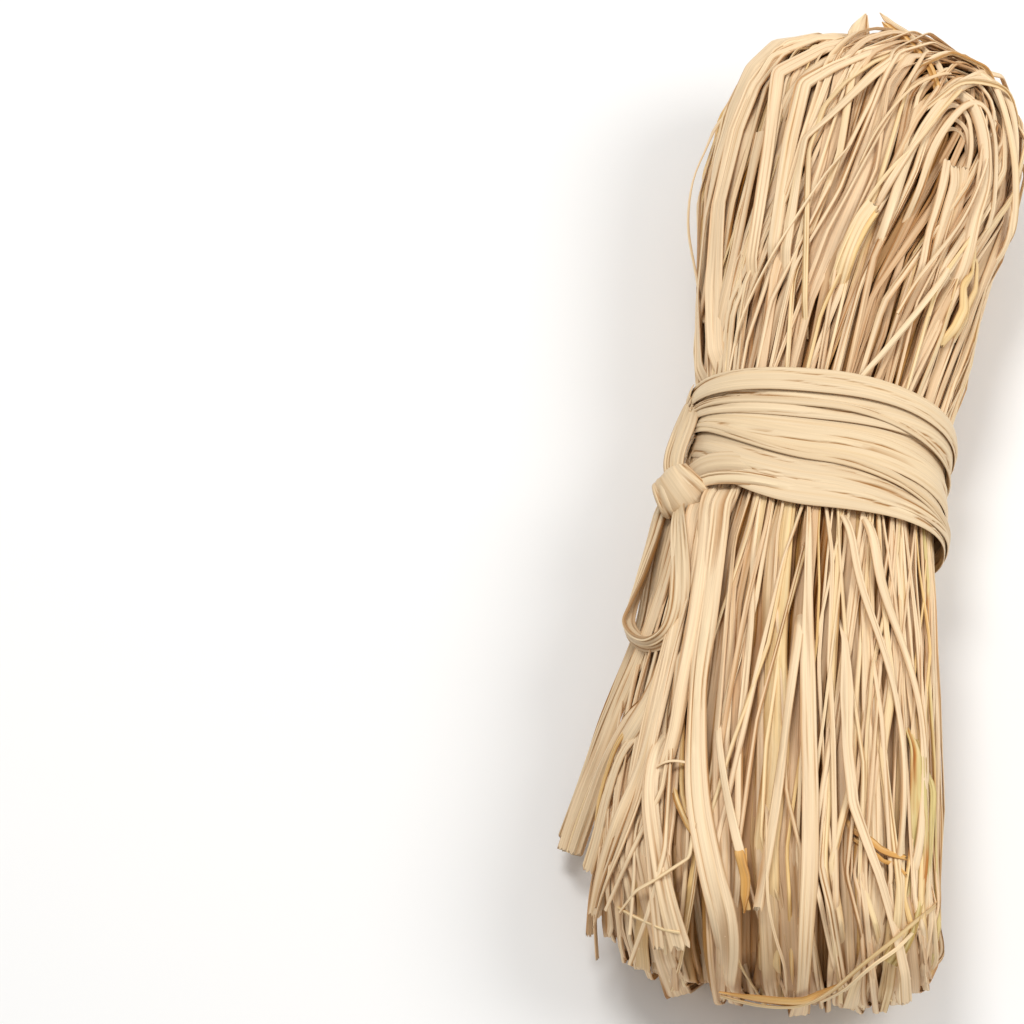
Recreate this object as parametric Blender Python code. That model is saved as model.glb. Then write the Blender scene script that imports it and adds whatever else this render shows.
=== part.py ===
"""A hank of natural raffia, folded at both ends and tied round its waist, lying on its back.

The long axis is Y, +Z is up, and the hank rests on z = 0. Everything is first placed about the middle of
the hank, and one empty then carries all of it, so that the middle of the whole bundle stands over the origin.
"""

import math

import bmesh
import bpy
from mathutils import Matrix, Vector

MM = 0.001

# The hank: stations along Y with the value that holds at each. Between two stations the value eases over.
HANK_HALF_LENGTH = 140 * MM
HALF_WIDTH = ((-140, 42), (-95, 42.5), (-45, 38.5), (10, 32), (55, 37), (105, 43), (140, 43))
SIDE_SHIFT = ((-140, -1), (-100, -4), (-45, -4), (10, -1), (60, 0.5), (110, 3.5), (140, 2.5))
TOP_HEIGHT = ((-140, 56), (-90, 57), (10, 50), (90, 57), (140, 57))
UNDER_HEIGHT = ((-140, -3), (-60, -3), (10, 3), (60, -3), (140, -3))
CORNER_LENGTH = 34 * MM
CORNER_POWER = 3.0
END_WIDTH_SHARE = 0.55
FOLD_RADIUS = 28 * MM
FOLD_TIP_SHARE = 0.06
SQUARENESS = 2.3
MOST_OF_SIDE = 0.98
GROOVES = 28
GROOVE_DEPTH = 1.8 * MM
GROOVE_SHARE_AT_TIP = 0.3
HANK_RINGS = 30
# How much closer together the rings lie towards the ends: 0 is evenly spaced.
RING_GATHERING = 0.45
# Where the hank's upper and lower body meet, under the tie at the waist.
SEAM = 10 * MM

# The eyes that the folds leave open. Each runs through the hank, turned about Y.
EYE_HALF_LENGTH = 12 * MM
EYE_HALF_HEIGHT = 3.8 * MM
EYE_SIDES = 16
EYES = {"upper": (0, 110, 27, 38), "lower": (-3.5, -114, 26.5, 4)}

# The tie: a band of strips side by side round the waist. The band's upper and lower edges at the left, over
# the front, at the right and under the back, in millimetres, then the strips' shares of it, from the top.
TIE_LEFT = (28.0, 6.5)
TIE_FRONT = (26.0, -13.2)
TIE_RIGHT = (22.0, -10.8)
TIE_BACK = (21.0, -9.5)
TIE_SHARES = (5.2, 5.8, 5.4, 4.4, 4.8, 5.4, 5.8)
TIE_THICKNESS = 1.0 * MM
TIE_SEGMENTS = 26

# Single strands: their thickness, their height over the hank, and how far one layer lies over another.
GAP = 0.3 * MM
STRAND_THICKNESS = 0.7 * MM
STRAND_HEIGHT = 2 * GAP + STRAND_THICKNESS / 2
LAYER = 1.3 * MM
STRAND_STEPS = 12
ARCH_STEPS = 18

STRAW = (0.74, 0.55, 0.34)
PALE = (0.84, 0.68, 0.46)
WARM = (0.66, 0.43, 0.24)
OCHRE = (0.48, 0.25, 0.10)
GREENISH = (0.66, 0.60, 0.33)
TIE_COLOUR = (0.84, 0.67, 0.47)

# Strands that lie over the hank: places (x, y) in millimetres, the layer that they lie in, width, colour.
OVER_STRANDS = {
    "broad_strip_front": (
        ((-25, -19), (-25, -43), (-25, -72), (-22, -100), (-18, -119), (-13, -130)), 0, 6.0, PALE),
    "broad_strip_left": (
        ((-31.5, 34), (-34, 54), (-36, 78), (-34, 100), (-30, 113), (-25, 124)), 0, 5.0, PALE),
    "kinked_strip_outer": (((-19, 50), (-20, 86), (-22, 110), (-15, 118), (-5, 124)), 0.4, 4.0, PALE),
    "kinked_strip_inner": (((-9, 44), (-12, 72), (-14, 93), (-8, 101), (-2, 107), (3, 112)), 0, 3.6, STRAW),
    "torn_flap": (((1.5, 63), (3, 69), (6.5, 75)), 0, 4.6, OCHRE),
    "crossing_strand_top": (((27, 60), (21, 48), (13, 35)), 0, 1.4, PALE),
    "crumpled_flap_top": (((34, 69), (33, 59), (31, 49)), 0, 4.4, OCHRE),
    "bright_strand_outer": (((14, -21), (18, -35), (27, -54), (30, -68), (31, -86)), 0, 2.4, PALE),
    "bright_strand_inner": (((8, -21), (12, -35), (20, -55), (24, -70), (26, -88)), 0, 2.2, PALE),
    "yellow_strip": (((29.5, -92), (31, -100), (32, -108), (31, -118)), 0, 5.0, GREENISH),
    "bent_tip_strand": (((12, -78), (15, -91), (20, -110), (24, -121), (27, -129)), 0, 3.2, PALE),
    "ochre_end": (((-12, -98), (-11, -111), (-10, -122)), 0, 2.6, OCHRE),
    "crossing_strand_bottom": (((-39, -118), (-32, -117), (-24, -112)), 2, 1.6, STRAW),
    "fine_strand_long": (((-30, -70), (-31, -93), (-31, -108), (-33, -122), (-34, -129)), 1, 1.2, PALE),
    "fine_strand_short": (((-34, -60), (-33, -80), (-35, -96), (-37, -106), (-40, -114)), 0, 2.0, STRAW),
    "cut_end_front_outer": (((-15, -84), (-18, -104), (-19.5, -116)), 1, 3.2, STRAW),
    "cut_end_front_inner": (((-3, -92), (-5, -112), (-6, -126)), 0, 3.4, STRAW),
}

# Strands that arch round the eye at the top: places (angle, y) in degrees and millimetres, then as above.
ARCH_STRANDS = {
    "arch_strand_outer": (
        ((72, 66), (71, 96), (66, 118), (50, 130.5), (30, 126), (18, 111), (12, 88)), 0.9, 3.0, PALE),
    "arch_strand_inner": (
        ((64, 66), (61, 98), (57, 113), (47, 123.5), (37, 119), (34, 106), (32, 86)), 0, 2.2, STRAW),
}

# Strands that stand clear of the hank: places (x, y, z) in millimetres, width, colour.
FREE_STRANDS = {
    "top_spike_pale": (((-1, 121, 57.2), (-0.5, 131, 54), (0, 139, 51), (0.4, 146, 47.5)), 3.0, PALE),
    "top_spike_ochre": (((14.5, 121, 56), (14, 131, 53), (11, 140, 49), (5, 146, 46)), 2.0, OCHRE),
    "slack_strand_left": (
        ((-40.9, 102, 33), (-44, 92, 32), (-43.5, 78, 31), (-39, 66, 31)), 1.4, PALE),
    "riser": (((-35.5, 21, 39), (-40.5, 14, 37), (-44, 7, 37), (-44.5, 2.5, 38)), 5.0, TIE_COLOUR),
    "bow_loop": (
        ((-43, -14.5, 38), (-44.5, -25, 36), (-47.5, -37, 35), (-47.8, -42, 35.5), (-45.5, -45, 37.5),
         (-41.5, -49.5, 42), (-37.5, -51, 46), (-35.5, -47, 47.5), (-35, -38, 47.5), (-35.5, -28, 47),
         (-36.5, -15, 45)), 3.4, TIE_COLOUR),
    "tail_outer": (
        ((-46.5, -11, 31), (-48, -24, 29), (-49.5, -44, 27), (-51, -61, 23), (-54, -75, 19), (-57, -87, 15)),
        2.4, PALE),
    "tail_inner": (
        ((-43.5, -13, 30), (-45.5, -27, 29), (-47, -46, 26), (-48.5, -62, 21), (-51, -77, 17),
         (-53.5, -90, 12.5)), 2.4, STRAW),
    "bottom_ochre_strand": (
        ((37.5, -115, 44), (30, -128, 47.5), (21, -137.5, 44), (11, -144, 38), (2, -144.6, 33),
         (-7, -143, 31)), 1.6, OCHRE),
    "folded_strip_bottom": (
        ((6, -114, 57.6), (6, -126, 54), (6.5, -136, 46.4), (7, -141.6, 34), (7, -141.8, 22),
         (7, -137.6, 10.5)), 4.0, STRAW),
    "cut_end_long": (((-47, -56, 36), (-50, -72, 30), (-54, -86, 21), (-57, -98, 11)), 3.4, PALE),
    "cut_end_split": (((-46.5, -60, 18), (-49, -78, 11), (-50, -92, 6.5), (-51, -104, 3.5)), 4.0, STRAW),
    "cut_end_flared": (((-47, -66, 39), (-50, -84, 34), (-51.5, -98, 25), (-51, -110, 15)), 4.6, PALE),
    "cut_end_low": (((-46.5, -76, 23), (-48, -91, 18), (-48.5, -105, 13), (-47, -117, 9)), 4.0, WARM),
    "cut_end_under": (((-46.8, -80, 14), (-48.5, -98, 9.5), (-49, -112, 6), (-46.5, -123, 4)), 3.2, WARM),
}

# The knot: a ball with its three half sizes, tilted about Y and turned about Z, with grooves round it.
KNOT_CENTRE = Vector((-40.8, -5.5, 38)) * MM
KNOT_RADII = Vector((7.6, 5.0, 4.9)) * MM
KNOT_TILT = -25
KNOT_TURN = -38
KNOT_GROOVE = 0.10
KNOT_GROOVES = 3


def clear_scene():
    for thing in list(bpy.data.objects):
        bpy.data.objects.remove(thing, do_unlink=True)


def along(stations, y):
    """The value at y, in metres, eased between stations given in millimetres."""
    place = y / MM
    for (start, low), (end, high) in zip(stations, stations[1:]):
        if place <= end:
            break
    share = min(max((place - start) / (end - start), 0.0), 1.0)
    share = share * share * (3 - 2 * share)
    return (low + (high - low) * share) * MM


def rounding(y, length, power):
    """How much of the full size is left at y, near the rounded ends."""
    into = (abs(y) - (HANK_HALF_LENGTH - length)) / length
    if into <= 0:
        return 1.0
    return max(1 - min(into, 1.0) ** power, 0.0) ** (1 / power)


def hank_section(y):
    """The hank's centre and half sizes at y."""
    corner = rounding(y, CORNER_LENGTH, CORNER_POWER)
    fold = max(rounding(y, FOLD_RADIUS, 2.0), FOLD_TIP_SHARE)
    half_width = along(HALF_WIDTH, y) * (END_WIDTH_SHARE + (1 - END_WIDTH_SHARE) * corner)
    top = along(TOP_HEIGHT, y)
    under = along(UNDER_HEIGHT, y)
    centre = Vector((along(SIDE_SHIFT, y), y, (top + under) / 2))
    return centre, half_width, (top - under) / 2 * fold


def hank_point(angle, y, lift=0.0):
    """A point on the hank's outside at an angle about Y, from +X towards +Z, moved out by lift."""
    centre, half_width, half_height = hank_section(y)
    c = math.cos(angle)
    s = math.sin(angle)
    side = math.copysign(abs(c) ** (2 / SQUARENESS), c)
    rise = math.copysign(abs(s) ** (2 / SQUARENESS), s)
    outward = Vector((
        math.copysign(abs(side) ** (SQUARENESS - 1), c) / half_width, 0,
        math.copysign(abs(rise) ** (SQUARENESS - 1), s) / half_height)).normalized()
    return centre + Vector((half_width * side, 0, half_height * rise)) + outward * lift


def over_hank(x, y, lift):
    """The point over the hank's front at (x, y), lift off its surface, or just inside its side."""
    centre, half_width, half_height = hank_section(y)
    side = min(abs(x - centre.x) / (half_width + lift), MOST_OF_SIDE)
    rise = (1 - side ** SQUARENESS) ** (1 / SQUARENESS)
    return Vector((x, y, centre.z + (half_height + lift) * rise))


def outward_at(point):
    """The way out of the hank at a point beside it, across Y."""
    reach = HANK_HALF_LENGTH - FOLD_RADIUS / 2
    centre, half_width, half_height = hank_section(max(min(point.y, reach), -reach))
    return Vector((
        (point.x - centre.x) / half_width ** 2, 0, (point.z - centre.z) / half_height ** 2)).normalized()


def smooth_route(points, steps):
    """Points along one smooth curve through the given ones (a Catmull-Rom curve)."""
    ends = [2 * points[0] - points[1]] + list(points) + [2 * points[-1] - points[-2]]
    route = []
    spans = len(points) - 1
    for i in range(steps + 1):
        place = i / steps * spans
        k = min(int(place), spans - 1)
        t = place - k
        a, b, c, d = ends[k:k + 4]
        route.append(0.5 * (2 * b + (c - a) * t + (2 * a - 5 * b + 4 * c - d) * t ** 2
                            + (3 * b - a - 3 * c + d) * t ** 3))
    return route


def straw_material(name, colour):
    material = bpy.data.materials.new(name)
    material.use_nodes = True
    shader = material.node_tree.nodes["Principled BSDF"]
    shader.inputs["Base Color"].default_value = (*colour, 1.0)
    shader.inputs["Roughness"].default_value = 0.6
    shader.inputs["Metallic"].default_value = 0.0
    return material


def add_object(name, bm, colour, carrier, smooth=True):
    """Turn a finished bmesh into a named object of its own material, carried by the empty."""
    mesh = bpy.data.meshes.new(name)
    bm.to_mesh(mesh)
    bm.free()
    if smooth:
        mesh.shade_smooth()
        mesh.set_sharp_from_angle(angle=math.radians(40))
    mesh.materials.append(straw_material(name, colour))
    thing = bpy.data.objects.new(name, mesh)
    bpy.context.collection.objects.link(thing)
    thing.parent = carrier
    return thing


def straight_tube(sides, rings):
    """A closed tube of radius 1 along Z from 0 to 1, with rings at even steps, ready to be shaped."""
    bm = bmesh.new()
    bmesh.ops.create_cone(bm, cap_ends=True, segments=sides, radius1=1, radius2=1, depth=1,
                          matrix=Matrix.Translation((0, 0, 0.5)))
    walls = [e for e in bm.edges if abs(e.verts[0].co.z - e.verts[1].co.z) > 0.5]
    bmesh.ops.subdivide_edges(bm, edges=walls, cuts=rings - 1, use_grid_fill=True)
    return bm


def eye_cutter(name, x, y, z, turn, carrier):
    """A long oval bar that opens the eye of a fold."""
    bm = bmesh.new()
    bmesh.ops.create_cone(bm, cap_ends=True, segments=EYE_SIDES, radius1=1, radius2=1, depth=1)
    bmesh.ops.scale(bm, vec=(EYE_HALF_HEIGHT, EYE_HALF_LENGTH, 2 * HANK_HALF_LENGTH), verts=bm.verts)
    # The bar's axis lies along X, then turns up about Y.
    lie_down = Matrix.Rotation(math.radians(90 - turn), 4, "Y")
    bmesh.ops.transform(bm, matrix=Matrix.Translation(Vector((x, y, z)) * MM) @ lie_down, verts=bm.verts)
    cutter = add_object(name, bm, STRAW, carrier, smooth=False)
    cutter.hide_render = True
    cutter.display_type = "WIRE"
    return cutter


def grooved_hank():
    """The outer shape of the doubled strands, grooved lengthwise."""
    bm = straight_tube(2 * GROOVES, HANK_RINGS)
    for vert in bm.verts:
        angle = math.atan2(vert.co.y, vert.co.x)
        # Rings gather towards the ends, where the fold curves most.
        even = 2 * vert.co.z - 1
        gathered = -math.cos(math.pi * vert.co.z)
        y = HANK_HALF_LENGTH * (even + (gathered - even) * RING_GATHERING)
        groove = GROOVE_DEPTH if round(angle / math.pi * GROOVES) % 2 else 0.0
        half_height = hank_section(y)[2]
        vert.co = hank_point(-angle, y, -min(groove, GROOVE_SHARE_AT_TIP * half_height))
    return bm


def cut_away(bm, place, way):
    """Cut away all that lies beyond a plane, on the side that way points to, and close the cut."""
    cut = bmesh.ops.bisect_plane(bm, geom=bm.verts[:] + bm.edges[:] + bm.faces[:], dist=1e-6,
                                 plane_co=place, plane_no=way, clear_outer=True)
    bmesh.ops.contextual_create(bm, geom=[e for e in cut["geom_cut"] if isinstance(e, bmesh.types.BMEdge)])


def make_hank(carrier):
    """The doubled strands as two bodies that meet under the tie, cut flat where they rest, each with the eye
    of its fold open."""
    for end, side in (("upper", 1), ("lower", -1)):
        bm = grooved_hank()
        cut_away(bm, (0, SEAM + side * GAP / 2, 0), (0, -side, 0))
        cut_away(bm, (0, 0, 0), (0, 0, -1))
        body = add_object("hank_" + end, bm, STRAW, carrier)
        cut = body.modifiers.new("eye", "BOOLEAN")
        cut.operation = "DIFFERENCE"
        cut.object = eye_cutter("eye_cutter_" + end, *EYES[end], carrier)


def tie_edge(angle, share):
    """How far along Y the tie's band reaches at an angle, at a share of its width from the top down."""
    c = math.cos(angle)
    s = math.sin(angle)
    side = TIE_LEFT if c < 0 else TIE_RIGHT
    face = TIE_FRONT if s > 0 else TIE_BACK
    upper = side[0] * c * c + face[0] * s * s
    lower = side[1] * c * c + face[1] * s * s
    return (upper + (lower - upper) * share) * MM


def make_tie_strip(name, start, end, carrier):
    """One turn of the tie: a flat band that follows the waist, narrow at the left where the turns meet."""
    bm = bmesh.new()
    bmesh.ops.create_grid(bm, x_segments=1, y_segments=1, size=0.5,
                          matrix=Matrix.Translation((1, 0, 0)) @ Matrix.Rotation(math.pi / 2, 4, "X"))
    bmesh.ops.delete(bm, geom=bm.faces[:], context="FACES_ONLY")
    bmesh.ops.spin(bm, geom=bm.verts[:] + bm.edges[:], cent=(0, 0, 0), axis=(0, 0, 1), dvec=(0, 0, 0),
                   angle=2 * math.pi, steps=TIE_SEGMENTS, use_merge=True)
    bmesh.ops.recalc_face_normals(bm, faces=bm.faces)
    for vert in bm.verts:
        angle = math.atan2(vert.co.y, vert.co.x)
        out = 2 * GAP + TIE_THICKNESS * (vert.co.xy.length > 1)
        if vert.co.z > 0:
            y = tie_edge(angle, end) + GAP / 2
        else:
            y = tie_edge(angle, start) - GAP / 2
        vert.co = hank_point(angle, y, out)
    return add_object(name, bm, TIE_COLOUR, carrier)


def make_tie(carrier):
    """The strips of the tie, each with its share of the band's width."""
    done = 0.0
    for number, share in enumerate(TIE_SHARES, start=1):
        reach = done + share / sum(TIE_SHARES)
        make_tie_strip(f"tie_strip_{number}", done, reach, carrier)
        done = reach


def make_strand(name, route, width, colour, carrier, steps):
    """A flat strip along a route, its face turned to lie against the hank."""
    points = smooth_route(route, steps)
    bm = straight_tube(4, steps)
    for vert in bm.verts:
        i = round(vert.co.z * steps)
        ahead = points[min(i + 1, steps)] - points[max(i - 1, 0)]
        out = outward_at(points[i])
        across = out.cross(ahead).normalized()
        out = ahead.cross(across).normalized()
        corner = math.atan2(vert.co.y, vert.co.x) + math.pi / 4
        side = math.copysign(0.5, math.cos(corner))
        rise = math.copysign(0.5, math.sin(corner))
        vert.co = points[i] + across * side * width + out * rise * STRAND_THICKNESS
    return add_object(name, bm, colour, carrier)


def make_single_strands(carrier):
    for name, (places, layer, width, colour) in OVER_STRANDS.items():
        route = [over_hank(x * MM, y * MM, STRAND_HEIGHT + layer * LAYER) for x, y in places]
        make_strand(name, route, width * MM, colour, carrier, STRAND_STEPS)
    for name, (places, layer, width, colour) in ARCH_STRANDS.items():
        route = [hank_point(math.radians(a), y * MM, STRAND_HEIGHT + layer * LAYER) for a, y in places]
        make_strand(name, route, width * MM, colour, carrier, ARCH_STEPS)
    for name, (places, width, colour) in FREE_STRANDS.items():
        route = [Vector(place) * MM for place in places]
        make_strand(name, route, width * MM, colour, carrier, STRAND_STEPS)


def make_knot(carrier):
    """The knot: a flattened ball, grooved where its turns of strip lie over each other."""
    bm = bmesh.new()
    bmesh.ops.create_uvsphere(bm, u_segments=14, v_segments=10, radius=1)
    for vert in bm.verts:
        groove = KNOT_GROOVE * (1 + math.cos(2 * math.pi * KNOT_GROOVES * (vert.co.z + 1) / 2)) / 2
        level = math.sqrt(max(1 - vert.co.z ** 2, 0))
        vert.co.xy *= 1 - groove * level
        vert.co = Vector(a * b for a, b in zip(vert.co, KNOT_RADII))
    tilt = Matrix.Rotation(math.radians(KNOT_TILT), 4, "Y")
    turn = Matrix.Rotation(math.radians(KNOT_TURN), 4, "Z")
    bmesh.ops.transform(bm, matrix=Matrix.Translation(KNOT_CENTRE) @ tilt @ turn, verts=bm.verts)
    return add_object("knot", bm, TIE_COLOUR, carrier)


def centre_over_origin(carrier):
    """Move the carrying empty so that the middle of the whole bundle stands over the origin."""
    bpy.context.view_layer.update()
    corners = [
        thing.matrix_world @ Vector(corner)
        for thing in bpy.data.objects if thing.type == "MESH" and not thing.hide_render
        for corner in thing.bound_box
    ]
    for axis in (0, 1):
        values = [corner[axis] for corner in corners]
        carrier.location[axis] = -(min(values) + max(values)) / 2


def main():
    clear_scene()
    carrier = bpy.data.objects.new("bundle", None)
    bpy.context.collection.objects.link(carrier)
    make_hank(carrier)
    make_tie(carrier)
    make_knot(carrier)
    make_single_strands(carrier)
    centre_over_origin(carrier)


main()
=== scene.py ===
"""Raffia Hank: a tied hank of natural raffia, made strand by strand round its CAD frame.

Every strand is a strip of palm leaf that follows its own path. Paths are worked out in millimetres about
the middle of the hank, and a piece's points move to the frame when its mesh is made.
"""

import math

import bmesh
import bpy
import numpy as np
from bpy.props import EnumProperty, FloatProperty, FloatVectorProperty, IntProperty, PointerProperty
from mathutils import Matrix, Vector


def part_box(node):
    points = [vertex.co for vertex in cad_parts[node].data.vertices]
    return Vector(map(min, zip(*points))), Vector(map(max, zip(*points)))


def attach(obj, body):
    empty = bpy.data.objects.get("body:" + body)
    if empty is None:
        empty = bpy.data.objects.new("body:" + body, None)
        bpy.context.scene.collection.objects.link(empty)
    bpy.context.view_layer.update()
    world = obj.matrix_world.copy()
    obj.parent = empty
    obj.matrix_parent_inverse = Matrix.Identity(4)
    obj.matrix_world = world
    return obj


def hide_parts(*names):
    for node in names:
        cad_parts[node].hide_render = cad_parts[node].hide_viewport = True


bl_info = {
    "name": "Raffia Hank",
    "version": (1, 0, 0),
    "blender": (4, 5, 0),
    "location": "View3D > Sidebar > Raffia",
    "description": "A tied hank of natural raffia, strand by strand",
    "category": "Add Mesh",
}

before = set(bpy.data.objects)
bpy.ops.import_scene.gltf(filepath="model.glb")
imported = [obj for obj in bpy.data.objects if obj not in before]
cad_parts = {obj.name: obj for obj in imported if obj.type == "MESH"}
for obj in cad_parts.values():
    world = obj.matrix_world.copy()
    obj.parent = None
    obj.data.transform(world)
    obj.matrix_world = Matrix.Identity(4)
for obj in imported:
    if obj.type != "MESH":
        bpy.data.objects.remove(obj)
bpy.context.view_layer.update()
HANK_BOXES = (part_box("hank_lower"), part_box("hank_upper"))

MM = 0.001
BODY = "root"

# The hank: stations along Y with the value that holds at each. Between two stations the value eases over.
HALF_LENGTH = 140.0
HALF_WIDTH = ((-140, 42), (-95, 42.5), (-45, 38.5), (10, 32), (55, 37), (105, 43), (140, 43))
SIDE_SHIFT = ((-140, -1), (-100, -4), (-45, -4), (10, -1), (60, 0.5), (110, 3.5), (140, 2.5))
TOP_HEIGHT = ((-140, 56), (-90, 57), (10, 50), (90, 57), (140, 57))
UNDER_HEIGHT = ((-140, -3), (-60, -3), (10, 3), (60, -3), (140, -3))
SQUARENESS = 2.3
# How far from the middle the sides and the front begin to round over at each end.
SIDE_ROUNDS_FROM = 106
FRONT_ROUNDS_FROM = 112

# The ends' corners are drawn in from the first of these on, more and more over the second.
CORNERS_FROM = 98
CORNERS_OVER = 36

# The tie: the band's upper and lower edges at the left, over the front, at the right and under the back.
TIE_LEFT = (28.0, 6.5)
TIE_FRONT = (26.0, -13.2)
TIE_RIGHT = (22.0, -10.8)
TIE_BACK = (21.0, -9.5)

# How the loops of each end lie: where the eye is, and how the loops' planes turn about Y along the hank.
ENDS = {
    "upper": {"sign": 1, "eye": 99.0, "turn": ((0, 84), (50, 74), (95, 55), (140, 50))},
    "lower": {"sign": -1, "eye": 114.0, "turn": ((-140, 4), (-60, 6), (20, 10))},
}
EYE_REACH = 12.0
LAYER_STEP = 1.5

# A strand's width turns into an angle about the hank's axis over the first radius, and a layer's depth into
# a share of the section over the second.
ANGLE_RADIUS = 36.0
DEPTH_RADIUS = 34.0

# Where the loops come out from under the tie, and those of the inner layers past it.
FEET = (-8, 0)
INNER_FEET = (20, 38)

# A loop's leg bends a little every so far, and strays by this much at each bend: more in the outer layers.
BENDS_APART = (16, 38)
STRAY = 0.042
INNER_STRAY = 0.024

# The fold at the end of a loop: how long it is at the hank's side, and how much more over its middle.
FOLD_LENGTH = (9, 19)

# How far the eye pushes the strands apart, as a share of the section, and over what length.
EYE_OPENING = 0.15
EYE_LENGTH = 16

# A loop's arc round its fold, in degrees, rounded or with kinks.
ROUND_ARC = (14, 36, 58, 80, 101, 123, 146, 167)
KINKED_ARCS = ((22, 66, 112, 156), (30, 94, 152))

# The outer layers of loops: how much of the round their strands cover, and the share of broad leaves. The
# outermost differs from end to end, and each of the others starts with its depth in layers.
OUTERMOST = {"upper": {"coverage": 0.80, "broad": 0.14}, "lower": {"coverage": 0.72, "broad": 0.18}}
NEXT_LAYERS = ((0.9, 0.98, 0.18), (1.9, 1.15, 0.35))
INNER_LAYERS = (3.0, 5.0, 8.0, 11.0, 14.5, 18.0)

# How many lines run along a strip, by the width that they are enough for.
COLUMNS_BY_WIDTH = ((1.7, 5), (3.0, 6), (4.6, 8), (math.inf, 10))

# How a leaf is folded across: its arch, its roof and its pleats, as shares of its half width.
FOLDS = {"arch": (0.22, 0.0, 0.0), "roof": (0.06, 0.28, 0.0), "gutter": (-0.10, -0.20, 0.0),
         "pleat": (0.08, 0.0, 0.24), "fold": (0.12, 0.08, 0.06), "flat": (0.06, 0.03, 0.02)}
COMMON_FOLDS = {"arch": 0.34, "roof": 0.22, "gutter": 0.12, "pleat": 0.16, "fold": 0.16}

# How a strip drifts from its route: over how many millimetres along it, and by how much either way.
ROLL_DRIFT = (32, math.radians(15))
WIDTH_DRIFT = 30
ARCH_DRIFT = (45, 0.10)
ROOF_DRIFT = (45, 0.08)
PLEAT_DRIFT = (30, 0.08)
CRUMPLE_DRIFT = (17, 0.08)

# No leaf goes lower than this over the table.
LOWEST = 0.02

# Which arrangement each group of pieces takes. The loops' seeds are settings.
TIE_SEED = 5
KNOT_SEED = 8
HANGING_SEED = 13
TOP_SEED = 17
FRONT_SEED = 19
CUT_ENDS_SEED = 29

TEMPLATES = {}


# ---------------------------------------------------------------- settings


def linear(code):
    """A #rrggbb colour as linear RGBA."""
    values = [int(code[i:i + 2], 16) / 255 for i in (1, 3, 5)]
    return tuple(v / 12.92 if v <= 0.04045 else ((v + 0.055) / 1.055) ** 2.4 for v in values) + (1.0,)


def length_setting(name, description, default, low, high, precision=5):
    """A length, as a property."""
    return FloatProperty(name=name, description=description, default=default, min=low, max=high,
                         unit="LENGTH", precision=precision)


def colour_setting(name, description, code):
    """A colour, as a property."""
    return FloatVectorProperty(name=name, description=description, default=linear(code), min=0, max=1,
                               subtype="COLOR", size=4)


class RaffiaHankSettings(bpy.types.PropertyGroup):
    strand_width: length_setting(
        "Strand width", "Middle width of the narrow strands, across the flat", 0.00185, 0.0008, 0.004)
    leaf_thickness: length_setting(
        "Leaf thickness", "How thick a dry leaf is, with its curl", 0.00042, 0.0001, 0.001)
    crossing_strands: IntProperty(
        name="Crossing strands", description="Loose strands that cross the others at each end",
        default=52, min=0, max=80)
    upper_seed: IntProperty(
        name="Upper seed", description="Which arrangement the upper loops take", default=17)
    lower_seed: IntProperty(
        name="Lower seed", description="Which arrangement the lower loops take", default=23)


class RaffiaTieSettings(bpy.types.PropertyGroup):
    turn_lift: length_setting(
        "Turn lift", "How far each turn of the tie stands over the one under it", 0.00062, 0.0001, 0.002)
    crease_depth: length_setting(
        "Crease depth", "How deep the long creases in the tie's leaves are", 0.0008, 0, 0.0015)
    knot_width: length_setting(
        "Knot leaf width", "Width of the broad leaf round the knot", 0.0112, 0.004, 0.02, precision=4)


class RaffiaColourSettings(bpy.types.PropertyGroup):
    pale: colour_setting("Pale leaf", "The most common tint of the dry leaf", "#f0d5ae")
    gold: colour_setting("Golden leaf", "Leaf that has yellowed in the sun", "#e9c382")
    ochre: colour_setting("Ochre leaf", "Leaf that has turned in the damp", "#d9a257")
    green: colour_setting("Greenish leaf", "Leaf that was cut young", "#d2bc7a")
    # Painted shade: the colour that the shade attribute mixes into the leaf, on deep leaves and dipping
    # edges.
    shaded: colour_setting("Painted shade", "Painted shade for deep leaves and dipping edges", "#9c600a")


class RaffiaStageSettings(bpy.types.PropertyGroup):
    table: colour_setting("Table", "Colour of the table top", "#f1f0ee")
    key_power: FloatProperty(
        name="Key light", description="Power of the softbox at the left", default=4.3, min=0,
        unit="POWER")
    fill_power: FloatProperty(
        name="Fill light", description="Power of the softbox at the right", default=3.6, min=0,
        unit="POWER")
    room_light: FloatProperty(
        name="Room light", description="How bright the room is all round", default=0.55, min=0, max=2)
    camera_distance: length_setting(
        "Camera distance", "From the camera to what it looks at", 1.109, 0.3, 10, precision=3)


# ---------------------------------------------------------------- the hank's form


def ease_between(places, values, at):
    """The value at each place in at, eased from each of the given places to the next."""
    k = np.clip(np.searchsorted(places, at) - 1, 0, len(places) - 2)
    share = np.clip((at - places[k]) / (places[k + 1] - places[k]), 0, 1)
    share = share * share * (3 - 2 * share)
    return values[k] + (values[k + 1] - values[k]) * share


def eased(stations, y):
    """The value at each y, eased between (place, value) stations."""
    places, values = np.array(stations, float).T
    return ease_between(places, values, np.asarray(y, float))


def section(y):
    """The hank's centre (x, z) and half sizes at each y."""
    top = eased(TOP_HEIGHT, y)
    under = eased(UNDER_HEIGHT, y)
    return eased(SIDE_SHIFT, y), (top + under) / 2, eased(HALF_WIDTH, y), (top - under) / 2


def in_section(u, v, y):
    """Points (n, 3) at the unit-circle place (u, v) of the squarish section at each y."""
    x0, z0, half_width, half_height = section(y)
    reach = np.maximum(np.hypot(u, v), 1e-9)
    cu, cv = u / reach, v / reach
    square = (np.abs(cu) ** SQUARENESS + np.abs(cv) ** SQUARENESS) ** (-1 / SQUARENESS)
    return np.stack((x0 + half_width * u * square, y, z0 + half_height * v * square), axis=1)


def unit(a):
    return a / np.maximum(np.linalg.norm(a, axis=-1, keepdims=True), 1e-12)


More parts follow.
